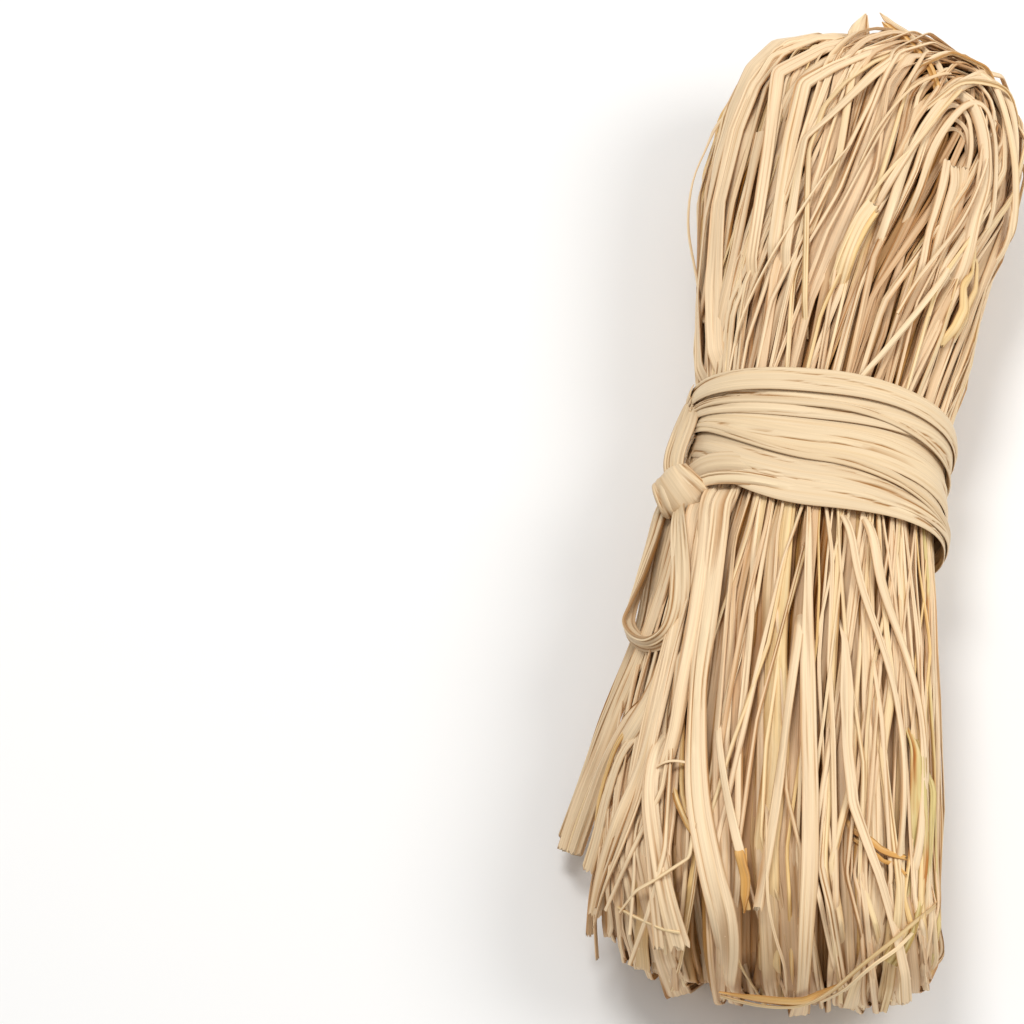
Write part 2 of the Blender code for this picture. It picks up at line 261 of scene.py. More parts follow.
def settle(points):
    """Draws in the hank's corners: the upper end slopes away to the right, and the lower end is blunt."""
    x0, _, half_width, _ = section(points[:, 1])
    side = np.clip((points[:, 0] - x0) / half_width, -1, 1)
    y = points[:, 1]
    points = points.copy()
    upper = np.clip((y - CORNERS_FROM) / CORNERS_OVER, 0, 1.15)
    points[:, 0] += 3.6 * np.clip((y - 90) / 22, 0, 1.8) * np.clip(-side, 0, 1) ** 2
    points[:, 1] -= 6.0 * np.clip(side, 0, 1) ** 1.5 * upper
    lower = np.clip((-y - CORNERS_FROM) / CORNERS_OVER, 0, 1.15)
    points[:, 1] += (2.5 + 7 * np.clip(-side, 0, 1) ** 3 + 5 * np.clip(side, 0, 1) ** 4) * lower
    return points


def wander(rng, along, wave, amount):
    """A smooth random drift along a strand: about amount either way, turning every wave millimetres."""
    count = int(along[-1] / wave) + 3
    knots = (np.arange(count) + rng.uniform(-0.3, 0.3, count) - 0.5) * wave
    return ease_between(knots, rng.normal(0, amount, count), along)


def hank_offset():
    """What moves a point about the hank's middle into the frame, in millimetres."""
    y = np.arange(-HALF_LENGTH, HALF_LENGTH + 1)
    x0, _, half_width, _ = section(y)
    low = np.min([box[0] for box in HANK_BOXES], axis=0) / MM
    high = np.max([box[1] for box in HANK_BOXES], axis=0) / MM
    middle = (low + high) / 2
    return np.array((middle[0] - ((x0 + half_width).max() + (x0 - half_width).min()) / 2, middle[1], 0.0))


OFFSET = hank_offset()


def mesh_from(bm, name):
    """A mesh of a bmesh's faces, and the end of the bmesh."""
    mesh = bpy.data.meshes.new(name)
    bm.to_mesh(mesh)
    bm.free()
    return mesh


def new_object(name, data):
    """A new object in the scene."""
    made = bpy.data.objects.new(name, data)
    bpy.context.collection.objects.link(made)
    return made


def ringed_tube(sides, rings):
    """A bmesh of a closed tube of radius 1 that stands on Z from 0 to 1."""
    bm = bmesh.new()
    bmesh.ops.create_cone(bm, cap_ends=True, segments=sides, radius1=1, radius2=1, depth=1,
                          matrix=Matrix.Translation((0, 0, 0.5)))
    walls = [e for e in bm.edges if abs(e.verts[0].co.z - e.verts[1].co.z) > 0.5]
    bmesh.ops.subdivide_edges(bm, edges=walls, cuts=rings - 2, use_grid_fill=True)
    return bm


def template(columns, rings):
    """A closed flat tube to be shaped: its mesh, and each vertex's and each face corner's ring and side."""
    key = (columns, rings)
    if key in TEMPLATES:
        return TEMPLATES[key]
    sides = 2 * columns
    mesh = mesh_from(ringed_tube(sides, rings), "strip_template")
    co = np.empty(3 * len(mesh.vertices))
    mesh.vertices.foreach_get("co", co)
    co = co.reshape(-1, 3)
    ring = np.rint(co[:, 2] * (rings - 1)).astype(int)
    side = np.rint(np.arctan2(co[:, 1], co[:, 0]) / (2 * math.pi) * sides).astype(int) % sides
    corner = np.empty(len(mesh.loops), int)
    mesh.loops.foreach_get("vertex_index", corner)
    start = np.empty(len(mesh.polygons), int)
    mesh.polygons.foreach_get("loop_start", start)
    total = np.empty(len(mesh.polygons), int)
    mesh.polygons.foreach_get("loop_total", total)
    # Where a side face closes the round, its last corners count as one more side, so that its map is whole.
    corner_side = side[corner]
    crosses = (np.maximum.reduceat(corner_side, start) == sides - 1) & (
        np.minimum.reduceat(corner_side, start) == 0) & (total == 4)
    crosses = np.repeat(crosses, total)
    corner_side = np.where(crosses & (corner_side == 0), sides, corner_side)
    TEMPLATES[key] = (mesh, ring, side, ring[corner], corner_side)
    return TEMPLATES[key]


def lengths_along(points):
    """How far along its line each point lies."""
    return np.concatenate(([0], np.cumsum(np.linalg.norm(np.diff(points, axis=0), axis=1))))


def resampled(rows, at, chosen):
    """Rows of three that are given at some lengths, at the chosen lengths instead."""
    return np.stack([np.interp(chosen, at, rows[:, i]) for i in range(3)], axis=1)


def softened(rows, reach):
    """Rows of three, each averaged with its neighbours up to reach away. The ends stay where they are."""
    kernel = np.hanning(2 * reach + 3)[1:-1]
    kernel /= kernel.sum()
    first = 2 * rows[0] - rows[reach:0:-1]
    last = 2 * rows[-1] - rows[-2:-reach - 2:-1]
    padded = np.concatenate((first, rows, last))
    return np.stack([np.convolve(padded[:, i], kernel, "valid") for i in range(3)], axis=1)


def even_path(points, outs, smooth, step, tight=0.2):
    """A path with small rounded kinks through the points: (n, 3) places, outward ways, lengths along.

    Its places are step millimetres apart, and closer where it bends: it turns by no more than tight radians
    from one to the next. step is a number, or a function of the length along."""
    at = lengths_along(points)
    fine = np.arange(0, at[-1], 1.0)
    place = softened(resampled(points, at, fine), smooth)
    out = softened(resampled(outs, at, fine), smooth)
    bend = np.linalg.norm(np.gradient(unit(np.gradient(place, axis=0)), axis=0), axis=1)
    spacing = np.clip(tight / np.maximum(bend, 1e-6), 1.0, step(fine) if callable(step) else step)
    count = np.concatenate(([0], np.cumsum(1 / spacing[1:])))
    # Only a few counts of rings are used, so that many strips share a template.
    rings = max(int(math.ceil(count[-1] / 4)) * 4 + 1, 9)
    chosen = np.interp(np.linspace(0, count[-1], rings), count, fine)
    return resampled(place, fine, chosen), resampled(out, fine, chosen), chosen


def strip(rng, place, out, along, width, tone, shade=0.0, columns=None, kind=None, roll=None,
          taper=(0, 0), crumple=1.0, ragged=(0.0, 0.0), flare=0.0, vary=0.13):
    """One strip of leaf along a path: what its mesh is shaped from.

    kind is how the leaf is folded across. roll turns it about its length, in degrees at even steps. taper
    is how far each end narrows over, ragged how uneven each cut end is, flare how much the far end opens as
    a share of the width, vary how much the width drifts along it, and shade how much painted shade is mixed
    into its colour."""
    if columns is None:
        columns = next(count for limit, count in COLUMNS_BY_WIDTH if width < limit)
    thickness = bpy.context.scene.raffia_hank.leaf_thickness / MM
    ahead = unit(np.gradient(place, axis=0))
    across = unit(np.cross(out, ahead))
    surface = np.cross(ahead, across)
    if roll is None:
        roll = np.radians(rng.normal(0, 9)) + wander(rng, along, *ROLL_DRIFT)
    else:
        roll = np.radians(np.interp(along / along[-1], np.linspace(0, 1, len(roll)), roll))
    across, out = (across * np.cos(roll)[:, None] + surface * np.sin(roll)[:, None],
                   surface * np.cos(roll)[:, None] - across * np.sin(roll)[:, None])
    length = along[-1]
    if kind == "flat":
        crumple *= 0.6
    widths = width * (1 + wander(rng, along, WIDTH_DRIFT, vary)) * (1 + flare * (along / length) ** 3)
    for at_start, reach in ((True, taper[0]), (False, taper[1])):
        if reach:
            near = along if at_start else length - along
            widths = widths * np.clip(0.12 + 0.88 * near / reach, 0, 1)
    if kind is None:
        kind = rng.choice(tuple(COMMON_FOLDS), p=tuple(COMMON_FOLDS.values()))
    # The veins are unevenly spaced, so the creases between them are too.
    gaps = rng.uniform(0.55, 1.6, columns - 1)
    gaps[[0, -1]] = 0.5
    x = 1 - 2 * np.concatenate(([0], np.cumsum(gaps))) / gaps.sum()
    crest = rng.uniform(-0.5, 0.5)
    arch, roof, pleat = FOLDS[kind]
    arch = arch + wander(rng, along, *ARCH_DRIFT)
    roof = roof + wander(rng, along, *ROOF_DRIFT)
    pleat = pleat + wander(rng, along, *PLEAT_DRIFT)
    zigzag = np.where(np.arange(columns) % 2 == 0, 1.0, -1.0) * rng.uniform(0.4, 1.3, columns)
    half = widths[:, None] / 2
    profile = half * (-arch[:, None] * x[None] ** 2 - roof[:, None] * np.abs(x[None] - crest)
                      + 0.5 * pleat[:, None] * zigzag[None])
    for j in range(columns):
        profile[:, j] += wander(rng, along, CRUMPLE_DRIFT[0],
                                CRUMPLE_DRIFT[1] * crumple * min(width, 4.0) ** 0.5)
    thick = np.full((len(along), columns), thickness)
    # A folded leaf lies double along one edge, and every leaf thins towards both.
    if kind == "fold":
        thick[:, : columns // 3] *= 1.9
        profile[:, : columns // 3] += 0.25 * thickness
    thick *= 1 - 0.55 * np.abs(x[None]) ** 4
    uneven = [np.where(np.arange(columns) % 2, 0.5, -0.5) * rng.uniform(0.3, 1.2, columns) * reach
              for reach in ragged]
    return {"place": place, "ahead": ahead, "across": across, "out": out, "surface": surface,
            "along": along, "widths": widths, "x": x / 2, "profile": profile, "thick": thick,
            "tone": tone, "shade": shade, "ridge": ridges(profile, widths), "uneven": uneven,
            "grain": rng.uniform(0, 400, 2)}


def ridges(profile, widths, gain=0.9, edge=-0.52):
    """How far each line along a strip stands over its neighbours, from -1 in a crease to 1 on a crest."""
    beside = np.pad(profile, ((0, 0), (1, 1)), mode="edge")
    step = np.maximum(widths[:, None] / (profile.shape[1] - 1), 0.2)
    made = np.clip((profile - (beside[:, 2:] + beside[:, :-2]) / 2) / step * gain, -1, 1)
    # The edges count as creases, so the material paints shade along them.
    made[:, (0, -1)] = edge
    return made


def shape_strip(s):
    """The strip's template, vertices, corner maps, and its vertices' ridge and shade."""
    columns = len(s["x"])
    mesh, ring, side, corner_ring, corner_side = template(columns, len(s["along"]))
    column = np.where(side < columns, side, 2 * columns - 1 - side)
    up = np.where(side < columns, 0.5, -0.5)
    spread = (s["across"][ring] * (s["x"][column] * s["widths"][ring])[:, None]
              + s["out"][ring] * (s["profile"][ring, column] + up * s["thick"][ring, column])[:, None])
    co = s["place"][ring] + spread
    for end, uneven in ((0, s["uneven"][0]), (len(s["along"]) - 1, s["uneven"][1])):
        co += s["ahead"][ring] * (uneven[column] * (ring == end))[:, None]
    co[:, 2] = np.maximum(co[:, 2], LOWEST)
    # An edge that dips between its neighbours gets painted shade, more the deeper it dips.
    dip = np.clip(-(spread * s["surface"][ring]).sum(axis=1) - 0.25, 0, 1.2)
    shade = np.clip(s["shade"] + 0.30 * dip, 0, 0.9)
    corner_column = np.where(corner_side < columns, corner_side, 2 * columns - 1 - corner_side)
    corner_column = np.where(corner_side == 2 * columns, 0, corner_column)
    fibre = np.stack((s["along"][corner_ring] + s["grain"][0],
                      s["x"][corner_column] * s["widths"][corner_ring] + s["grain"][1]), axis=1)
    bake = np.stack((s["along"][corner_ring] / s["along"][-1], corner_side / (2 * columns)), axis=1)
    return mesh, co, fibre, bake, s["ridge"][ring, column], shade


# What stays empty of the bake map at the ends of each strip, and of its row at both sides.
END_MARGIN = 0.004
ROW_MARGIN = 0.05


def make_piece(name, strips, material, nodes=(), sharp=34):
    """One mesh object from many strips, with a row of the bake map for each, riding on the frame."""
    bm = bmesh.new()
    cos, fibres, bakes, tones, shades, crests = [], [], [], [], [], []
    rows = len(strips)
    for row, s in enumerate(strips):
        mesh, co, fibre, bake, ridge, shade = shape_strip(s)
        bm.from_mesh(mesh)
        cos.append(co)
        fibres.append(fibre)
        bakes.append(np.stack((END_MARGIN + (1 - 2 * END_MARGIN) * bake[:, 0],
                               (row + ROW_MARGIN + (1 - 2 * ROW_MARGIN) * bake[:, 1]) / rows), axis=1))
        tones.append(np.full(len(co), s["tone"]))
        shades.append(shade)
        crests.append(ridge)
    mesh = mesh_from(bm, name)
    points = (np.concatenate(cos) + OFFSET) * MM
    mesh.vertices.foreach_set("co", points.ravel())
    for layer, values in (("OFBake", bakes), ("Fibre", fibres)):
        uv = mesh.uv_layers.new(name=layer)
        uv.data.foreach_set("uv", np.concatenate(values).ravel())
    for layer, values in (("tone", tones), ("shade", shades), ("ridge", crests)):
        attribute = mesh.attributes.new(layer, "FLOAT", "POINT")
        attribute.data.foreach_set("value", np.concatenate(values))
    mesh.update()
    mesh.shade_smooth()
    mesh.set_sharp_from_angle(angle=math.radians(sharp))
    mesh.materials.append(material)
    piece = new_object(name, mesh)
    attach(piece, BODY)
    if nodes:
        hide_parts(*nodes)
    return piece


# ---------------------------------------------------------------- materials


def add_node(tree, kind, settings=None, **links):
    """A node with its settings, and its inputs as values or as links from other nodes' outputs.

    An input goes by its name, or by its number after an underscore."""
    node = tree.nodes.new(kind)
    for key, value in (settings or {}).items():
        setattr(node, key, value)
    for key, value in links.items():
        socket = node.inputs[int(key[1:])] if key[0] == "_" and key[1:].isdigit() else node.inputs[
            key.replace("_", " ")]
        if isinstance(value, bpy.types.NodeSocket):
            tree.links.new(value, socket)
        else:
            socket.default_value = value
    return node


def computed(tree, operation, *values, clamp=False):
    """What a math node makes of the values."""
    inputs = {f"_{i}": value for i, value in enumerate(values)}
    node = add_node(tree, "ShaderNodeMath", {"operation": operation, "use_clamp": clamp}, **inputs)
    return node.outputs[0]


def noise(tree, place, scale, settings=None, **inputs):
    """Noise over the places, with scale cycles or so to each of their units."""
    stretched = add_node(tree, "ShaderNodeMapping", Vector=place, Scale=scale)
    made = add_node(tree, "ShaderNodeTexNoise", settings, Vector=stretched.outputs[0], Scale=1.0, **inputs)
    return made.outputs["Fac"]


def remapped(tree, value, low, high, to_low, to_high):
    """A value, with low made to_low and high made to_high."""
    node = add_node(tree, "ShaderNodeMapRange", Value=value, _1=low, _2=high, _3=to_low, _4=to_high)
    return node.outputs[0]


def blended(tree, kind, share, base, over):
    """One colour over another, by that share. kind is MIX or MULTIPLY."""
    settings = {"data_type": "RGBA", "blend_type": kind}
    return add_node(tree, "ShaderNodeMix", settings, _0=share, _6=base, _7=over).outputs[2]


def tinted(tree, value, stops):
    """A value as a colour, by a ramp of (place, linear colour) stops."""
    node = add_node(tree, "ShaderNodeValToRGB", Fac=value)
    elements = node.color_ramp.elements
    while len(elements) > 1:
        elements.remove(elements[-1])
    elements[0].position = stops[0][0]
    elements[0].color = stops[0][1]
    for place, colour in stops[1:]:
        elements.new(place).color = colour
    return node.outputs[0]


def plain_material(name):
    """A new material, its node tree and its Principled shader."""
    material = bpy.data.materials.new(name)
    material.use_nodes = True
    return material, material.node_tree, material.node_tree.nodes["Principled BSDF"]


def leaf_tints():
    """Leaf tints by tone, from pinkish and pale through gold to ochre and green."""
    colours = bpy.context.scene.raffia_colours
    return ((0.00, linear("#dcb68b")), (0.16, linear("#e6c49b")), (0.34, linear("#eccea7")),
            (0.52, tuple(colours.pale)), (0.66, linear("#efd19d")), (0.78, tuple(colours.gold)),
            (0.87, tuple(colours.ochre)), (0.93, linear("#c3843f")), (0.97, linear("#dcc68a")),
            (1.00, tuple(colours.green)))


TIE_TINTS = tuple((place, linear(code)) for place, code in (
    (0.00, "#cfb289"), (0.30, "#d8bd97"), (0.50, "#dec5a1"), (0.70, "#e3caa5"), (1.00, "#dfc296")))
# The heart's browns are painted shade for the depths of the hank.
PACKED_PAINTED_SHADE_TINTS = ((0.35, linear("#6b3d09")), (0.5, linear("#965c18")), (0.65, linear("#b68034")))
STREAK_TINT = linear("#cd9f5c")
# Painted highlight for the crests, and painted shade for the creases and edges.
PAINTED_CREST_HIGHLIGHT = linear("#f7e0b7")
PAINTED_CREASE_SHADE = linear("#b0802a")


def leaf_material(name, tints, streaks=0.36, veins=(0.84, 1.05), grain=0.45):
    """A strip of raffia palm leaf: a satin skin with fine lengthwise veins that catch the light, slow
    changes of tone along each strip, browner veins here and there, a painted highlight on the crests and
    painted shade in the creases, along the edges and on deep leaves."""
    if name in bpy.data.materials:
        return bpy.data.materials[name]
    material, tree, shader = plain_material(name)
    tone, shade, ridge = (
        add_node(tree, "ShaderNodeAttribute", {"attribute_name": layer}).outputs["Fac"]
        for layer in ("tone", "shade", "ridge"))
    fibre = add_node(tree, "ShaderNodeUVMap", {"uv_map": "Fibre"}).outputs[0]
    flat = {"noise_dimensions": "2D"}
    # One unit of the map is 1 mm. Tone drifts over about 25 mm along and the strip's width across.
    drift = noise(tree, fibre, (0.04, 0.35, 1.0), flat, Detail=2.0)
    # Veins really lie about 0.15 mm apart: drawn at 0.4 mm, so that they show.
    lines = noise(tree, fibre, (0.03, 2.6, 1.0), flat, Detail=3.0, Roughness=0.6)
    # Browner veins lie about 1 mm apart and run on for 80 mm.
    bands = noise(tree, fibre, (0.012, 0.9, 1.0), flat, Detail=2.0)
    shift = computed(tree, "MULTIPLY_ADD", drift, 0.22, -0.11)
    colour = tinted(tree, computed(tree, "ADD", tone, shift, clamp=True), tints)
    colour = blended(tree, "MIX", remapped(tree, bands, 0.52, 0.78, 0.0, streaks), colour, STREAK_TINT)
    colour = blended(tree, "MULTIPLY", 1.0, colour, remapped(tree, lines, 0.30, 0.70, *veins))
    # The ridge attribute gives a painted highlight on crests and painted shade in creases and along edges.
    colour = blended(tree, "MIX", remapped(tree, ridge, 0.05, 0.8, 0.0, 0.5), colour, PAINTED_CREST_HIGHLIGHT)
    colour = blended(tree, "MULTIPLY", remapped(tree, ridge, -0.05, -0.7, 0.0, 0.8), colour, PAINTED_CREASE_SHADE)
    # Painted shade: the shade attribute mixes the painted shade colour into the leaf.
    colour = blended(tree, "MIX", shade, colour, tuple(bpy.context.scene.raffia_colours.shaded))
    tree.links.new(colour, shader.inputs["Base Color"])
    bump = add_node(tree, "ShaderNodeBump", Height=lines, Strength=grain, Distance=0.00022)
    tree.links.new(bump.outputs[0], shader.inputs["Normal"])
    shader.inputs["Roughness"].default_value = 0.46
    shader.inputs["Specular IOR Level"].default_value = 0.2
    return material


def sun_dried_leaf():
    """Leaf dried in the sun and stripped by hand: cream to gold, with strong veins."""
    return leaf_material("sun_dried_raffia_leaf", leaf_tints())


def young_leaf():
    """Smooth young leaf, kept for tying: evenly pale, with faint veins."""
    return leaf_material("smooth_young_raffia_leaf", TIE_TINTS, streaks=0.22, veins=(0.90, 1.03), grain=0.3)


def packed_leaf_painted_shade():
    """Leaf packed tight, in painted shade: browner, with long dark gaps between the leaves painted in."""
    material, tree, shader = plain_material("packed_raffia_leaf_painted_shade")
    place = add_node(tree, "ShaderNodeTexCoord").outputs["Object"]
    # Leaves about 2 mm across and 100 mm long.
    leaves = noise(tree, place, (500.0, 10.0, 500.0), Detail=2.0)
    tree.links.new(tinted(tree, leaves, PACKED_PAINTED_SHADE_TINTS), shader.inputs["Base Color"])
    shader.inputs["Roughness"].default_value = 0.7
    return material


# ---------------------------------------------------------------- the loops


def loop_leg(rng, foot, top, angle, slope, stray):
    """Along one side of a loop: places along the hank, angles about its axis and lifts."""
    y = [foot]
    while y[-1] < top - BENDS_APART[1] - 6:
        y.append(y[-1] + rng.uniform(*BENDS_APART))
    y.append(top)
    y = np.array(y)
    turn = np.cumsum(np.concatenate(([0], rng.normal(0, stray, len(y) - 1))))
    away = rng.normal(0, 0.05) + slope * (y - 60) / 100 + turn
    return y, angle + away, rng.normal(0, 0.45, len(y))


def loop_route(rng, end, phi, layer, slope, kinked, reach, foot):
    """The route of one loop before it is fitted into the hank: for each place its y, its (s, c) on a unit
    circle, its lift and how far round the fold it is, and the number of places before the fold.

    s goes across the loop, and c from its back to its front."""
    eye = ENDS[end]["eye"]
    middling = abs(math.sin(phi))
    # Loops at the hank's side end just past the eye, and those over its middle reach the end.
    tip = eye + EYE_REACH + (HALF_LENGTH - eye - EYE_REACH) * (
        1 - (1 - middling) ** 2.2) + reach - layer * LAYER_STEP
    fold = FOLD_LENGTH[0] + FOLD_LENGTH[1] * middling
    if foot is None:
        foot = rng.uniform(*FEET)
    foot = min(foot, tip - fold - 6)
    stray = STRAY if layer < 1.5 else INNER_STRAY
    front_y, front_a, front_lift = loop_leg(rng, foot, tip - fold, phi, slope, stray)
    back_y, back_a, back_lift = loop_leg(rng, foot, tip - fold, -phi, slope, stray)
    if kinked:
        arcs = np.radians(KINKED_ARCS[0] if rng.random() < 0.5 else KINKED_ARCS[1])
    else:
        arcs = np.radians(ROUND_ARC)
    arcs = arcs + rng.normal(0, 0.05, len(arcs))
    s_front, c_front = math.cos(front_a[-1]), math.sin(front_a[-1])
    s_back, c_back = math.cos(back_a[-1]), math.sin(back_a[-1])
    s_arc = s_front + (s_back - s_front) * (arcs / math.pi)
    c_arc = np.where(arcs < math.pi / 2, c_front, -c_back) * np.cos(arcs)
    y_arc = (tip - fold) + fold * np.sin(arcs)
    y = np.concatenate((front_y, y_arc, back_y[::-1]))
    s = np.concatenate((np.cos(front_a), s_arc, np.cos(back_a[::-1])))
    c = np.concatenate((np.sin(front_a), c_arc, np.sin(back_a[::-1])))
    lift = np.concatenate((front_lift, rng.normal(0, 0.5, len(arcs)), back_lift[::-1]))
    # The eye pushes the strands apart.
    opening = EYE_OPENING * np.exp(-((y - eye) / EYE_LENGTH) ** 2)
    c = np.sign(c) * (opening * np.clip(np.abs(c) * 6, 0, 1) + (1 - opening) * np.abs(c))
    swing = np.concatenate((np.zeros(len(front_y)), arcs, np.full(len(back_y), math.pi)))
    return y, s, c, lift, swing, len(front_y)


def loop_strip(rng, end, phi, layer, width, tone, slope=0.0, kinked=False, reach=0.0, foot=None):
    """One loop of the hank: from under the tie up the front, round the fold and back under the tie.

    phi is where it starts round the hank, layer how deep it lies, slope how much it crosses its neighbours,
    reach how far past them its fold stands, and foot where it comes out from under the tie."""
    y, s, c, lift, swing, before_fold = loop_route(rng, end, phi, layer, slope, kinked, reach, foot)
    foot = y[0]
    sign = ENDS[end]["sign"]
    turn = np.radians(eased(ENDS[end]["turn"], sign * y))
    # The tie draws the strands in, and each foot goes in deeper, under the tie.
    waist = np.exp(-((y - 6) / 26) ** 4)
    sunk = 1.1 * np.exp(-((y - foot) / 5) ** 2)
    scale = 1 - (layer * LAYER_STEP + 0.8 + 0.9 * waist + sunk - lift * (1 - 0.6 * waist)) / DEPTH_RADIUS
    u = (s * np.cos(turn) - c * np.sin(turn)) * scale
    v = (s * np.sin(turn) + c * np.cos(turn)) * scale
    points = settle(in_section(u, v, sign * y))
    points[:, 2] = np.maximum(points[:, 2], 0.7 + layer * 1.1)
    # The flat of the leaf faces out of the hank, and round the fold it faces away from the fold's axis.
    on_leg = (swing == 0) | (swing == math.pi)
    out_c = np.where(on_leg, c, np.cos(swing))
    out_s = np.where(on_leg, s, s * 0.35)
    outs = unit(np.stack((out_s * np.cos(turn) - out_c * np.sin(turn), np.sin(swing) * sign,
                          (out_s * np.sin(turn) + out_c * np.cos(turn)) * 1.3), axis=1))
    hidden = lengths_along(points)[before_fold + int((~on_leg).sum()) // 2]

    def step(at):
        """Between two rings: longer past the fold, where the strand runs on under the hank."""
        return np.where(at < hidden + 12, 4.2, 8.0)

    deep = layer > 3
    place, out, along = even_path(points, outs, smooth=2 if kinked else 4, step=9.0 if deep else step,
                                  tight=0.42 if deep else 0.2)
    flat = width > 3.6 and rng.random() < 0.7
    # Deeper layers get more painted shade.
    made = strip(rng, place, out, along, width, tone, shade=min(0.72, 0.34 * max(layer, 0) ** 1.1),
                 taper=(12, 12) if deep else (0, 0), kind="flat" if flat else None)
    # Where the tie gathers the hank, each leaf is pleated narrower.
    made["widths"] *= 1 - 0.36 * np.exp(-((place[:, 1] - 6) / 46) ** 2)
    return made


def strand_width(rng, broad=0.12):
    """A width across the flat: most strands are narrow, and a few are whole broad leaves."""
    if rng.random() < broad:
        return rng.uniform(3.8, 7.0)
    middle = bpy.context.scene.raffia_hank.strand_width / MM
    return float(np.clip(rng.lognormal(math.log(middle), 0.48), 0.75, 3.8))


def strand_tone(rng):
    """Most leaf is pale, one strand in a hundred is ochre, and fewer are greenish."""
    pick = rng.random()
    if pick < 0.008:
        return rng.uniform(0.80, 0.87)
    if pick < 0.013:
        return rng.uniform(0.96, 1.0)
    return float(np.clip(rng.normal(0.42, 0.19), 0.0, 0.78))


def loops_of(end, seed):
    """The loops of one end, in layers from the outside in."""
    rng = np.random.default_rng(seed)
    outermost = (0.0, OUTERMOST[end]["coverage"], OUTERMOST[end]["broad"])
    made = []
    for layer, coverage, broad in (outermost, *NEXT_LAYERS):
        loops = []
        phi = 0.01
        while phi < math.pi - 0.01:
            near_eye = min(phi, math.pi - phi) < 0.35
            width = min(strand_width(rng, broad), 2.0 if near_eye else 9.0)
            phi += width / ANGLE_RADIUS / 2 / coverage
            loops.append(loop_strip(
                rng, end, phi, layer + rng.uniform(-0.3, 0.3), width, strand_tone(rng),
                slope=rng.normal(0, 0.06), kinked=rng.random() < 0.45, reach=rng.normal(0, 1.0)))
            phi += width / ANGLE_RADIUS / 2 / coverage
        made.append(loops)
    for _ in range(bpy.context.scene.raffia_hank.crossing_strands):
        made[0].append(loop_strip(
            rng, end, rng.uniform(0.25, math.pi - 0.25), -0.5, rng.uniform(0.8, 1.9), strand_tone(rng),
            slope=rng.choice((-1, 1)) * rng.uniform(0.10, 0.34), kinked=True, reach=rng.normal(-0.4, 0.5)))
    # Inside the fold the leaves are broad and lie deep: they are seen only through the eye and the gaps.
    inner = []
    for layer in INNER_LAYERS:
        share = 1 - layer * LAYER_STEP / DEPTH_RADIUS
        clear, coverage = (0.05, 0.95) if layer < 4 else (0.32, 0.75)
        phi = clear
        while phi < math.pi - clear:
            width = rng.uniform(3.0, 5.5)
            phi += width / ANGLE_RADIUS / share / 2 / coverage
            inner.append(loop_strip(
                rng, end, phi, layer, width, strand_tone(rng), slope=rng.normal(0, 0.05),
                kinked=rng.random() < 0.3, reach=rng.normal(0, 0.8), foot=rng.uniform(*INNER_FEET)))
            phi += width / ANGLE_RADIUS / share / 2 / coverage
    return made + [inner]


class RAFFIA_OT_add_loops(bpy.types.Operator):
    """Add the folded loops of one end of the hank, in four layers"""

    bl_idname = "raffia.add_loops"
    bl_label = "Add Loops"

    end: EnumProperty(
        name="End", description="Which end of the hank", default="upper",
        items=(("upper", "Upper", "The end with the open eye"), ("lower", "Lower", "The blunt end")))

    def execute(self, context):
        hank = context.scene.raffia_hank
        seed = hank.upper_seed if self.end == "upper" else hank.lower_seed
        for i, loops in enumerate(loops_of(self.end, seed)):
            make_piece(f"{self.end}_loops_{i + 1}", loops, sun_dried_leaf())
        return {"FINISHED"}


HEART_SIDES = 56
HEART_RINGS = 44
HEART_START = -98
HEART_LENGTH = 180
# The heart's share of the hank's section, and how deep its grooves are.
HEART_SHARE = 0.86
HEART_GROOVE = 0.035


def make_heart():
    """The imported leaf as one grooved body, which narrows towards each eye."""
    bm = ringed_tube(HEART_SIDES, HEART_RINGS)
    co = np.array([v.co for v in bm.verts])
    angle = -np.arctan2(co[:, 1], co[:, 0])
    y = HEART_START + HEART_LENGTH * co[:, 2]
    ends = np.clip(1 - np.abs(2 * co[:, 2] - 1) ** 10, 0.02, 1) ** 0.5
    groove = np.where(np.rint(angle / (2 * math.pi) * HEART_SIDES).astype(int) % 2 == 0, 0.0, HEART_GROOVE)
    reach = (HEART_SHARE - groove) * ends
    turned = angle + 0.4 * np.clip(y / 90, -0.2, 1)
    points = (in_section(reach * np.cos(turned), reach * np.sin(turned), y) + OFFSET) * MM
    for vert, point in zip(bm.verts, points):
        vert.co = point
    mesh = mesh_from(bm, "hank_heart")
    mesh.shade_smooth()
    mesh.set_sharp_from_angle(angle=math.radians(40))
    # The heart's dark colour is painted shade.
    mesh.materials.append(packed_leaf_painted_shade())
    piece = new_object("hank_heart", mesh)
    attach(piece, BODY)
    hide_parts("hank_lower", "hank_upper")


class RAFFIA_OT_add_heart(bpy.types.Operator):
    """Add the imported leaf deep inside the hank, from one fold's eye to the other's"""

    bl_idname = "raffia.add_heart"
    bl_label = "Add Heart"

    def execute(self, context):
        make_heart()
        return {"FINISHED"}


# ---------------------------------------------------------------- routes


# A leaf that runs straight from point to point, with a kink at each.
KINKED = {"curved": False, "smooth": 1}

# Ways for the flat of a leaf to face where it stands clear of the hank.
UPWARD = (0.05, -0.45, 0.88)
LEFTWARD = (-0.40, -0.35, 0.85)


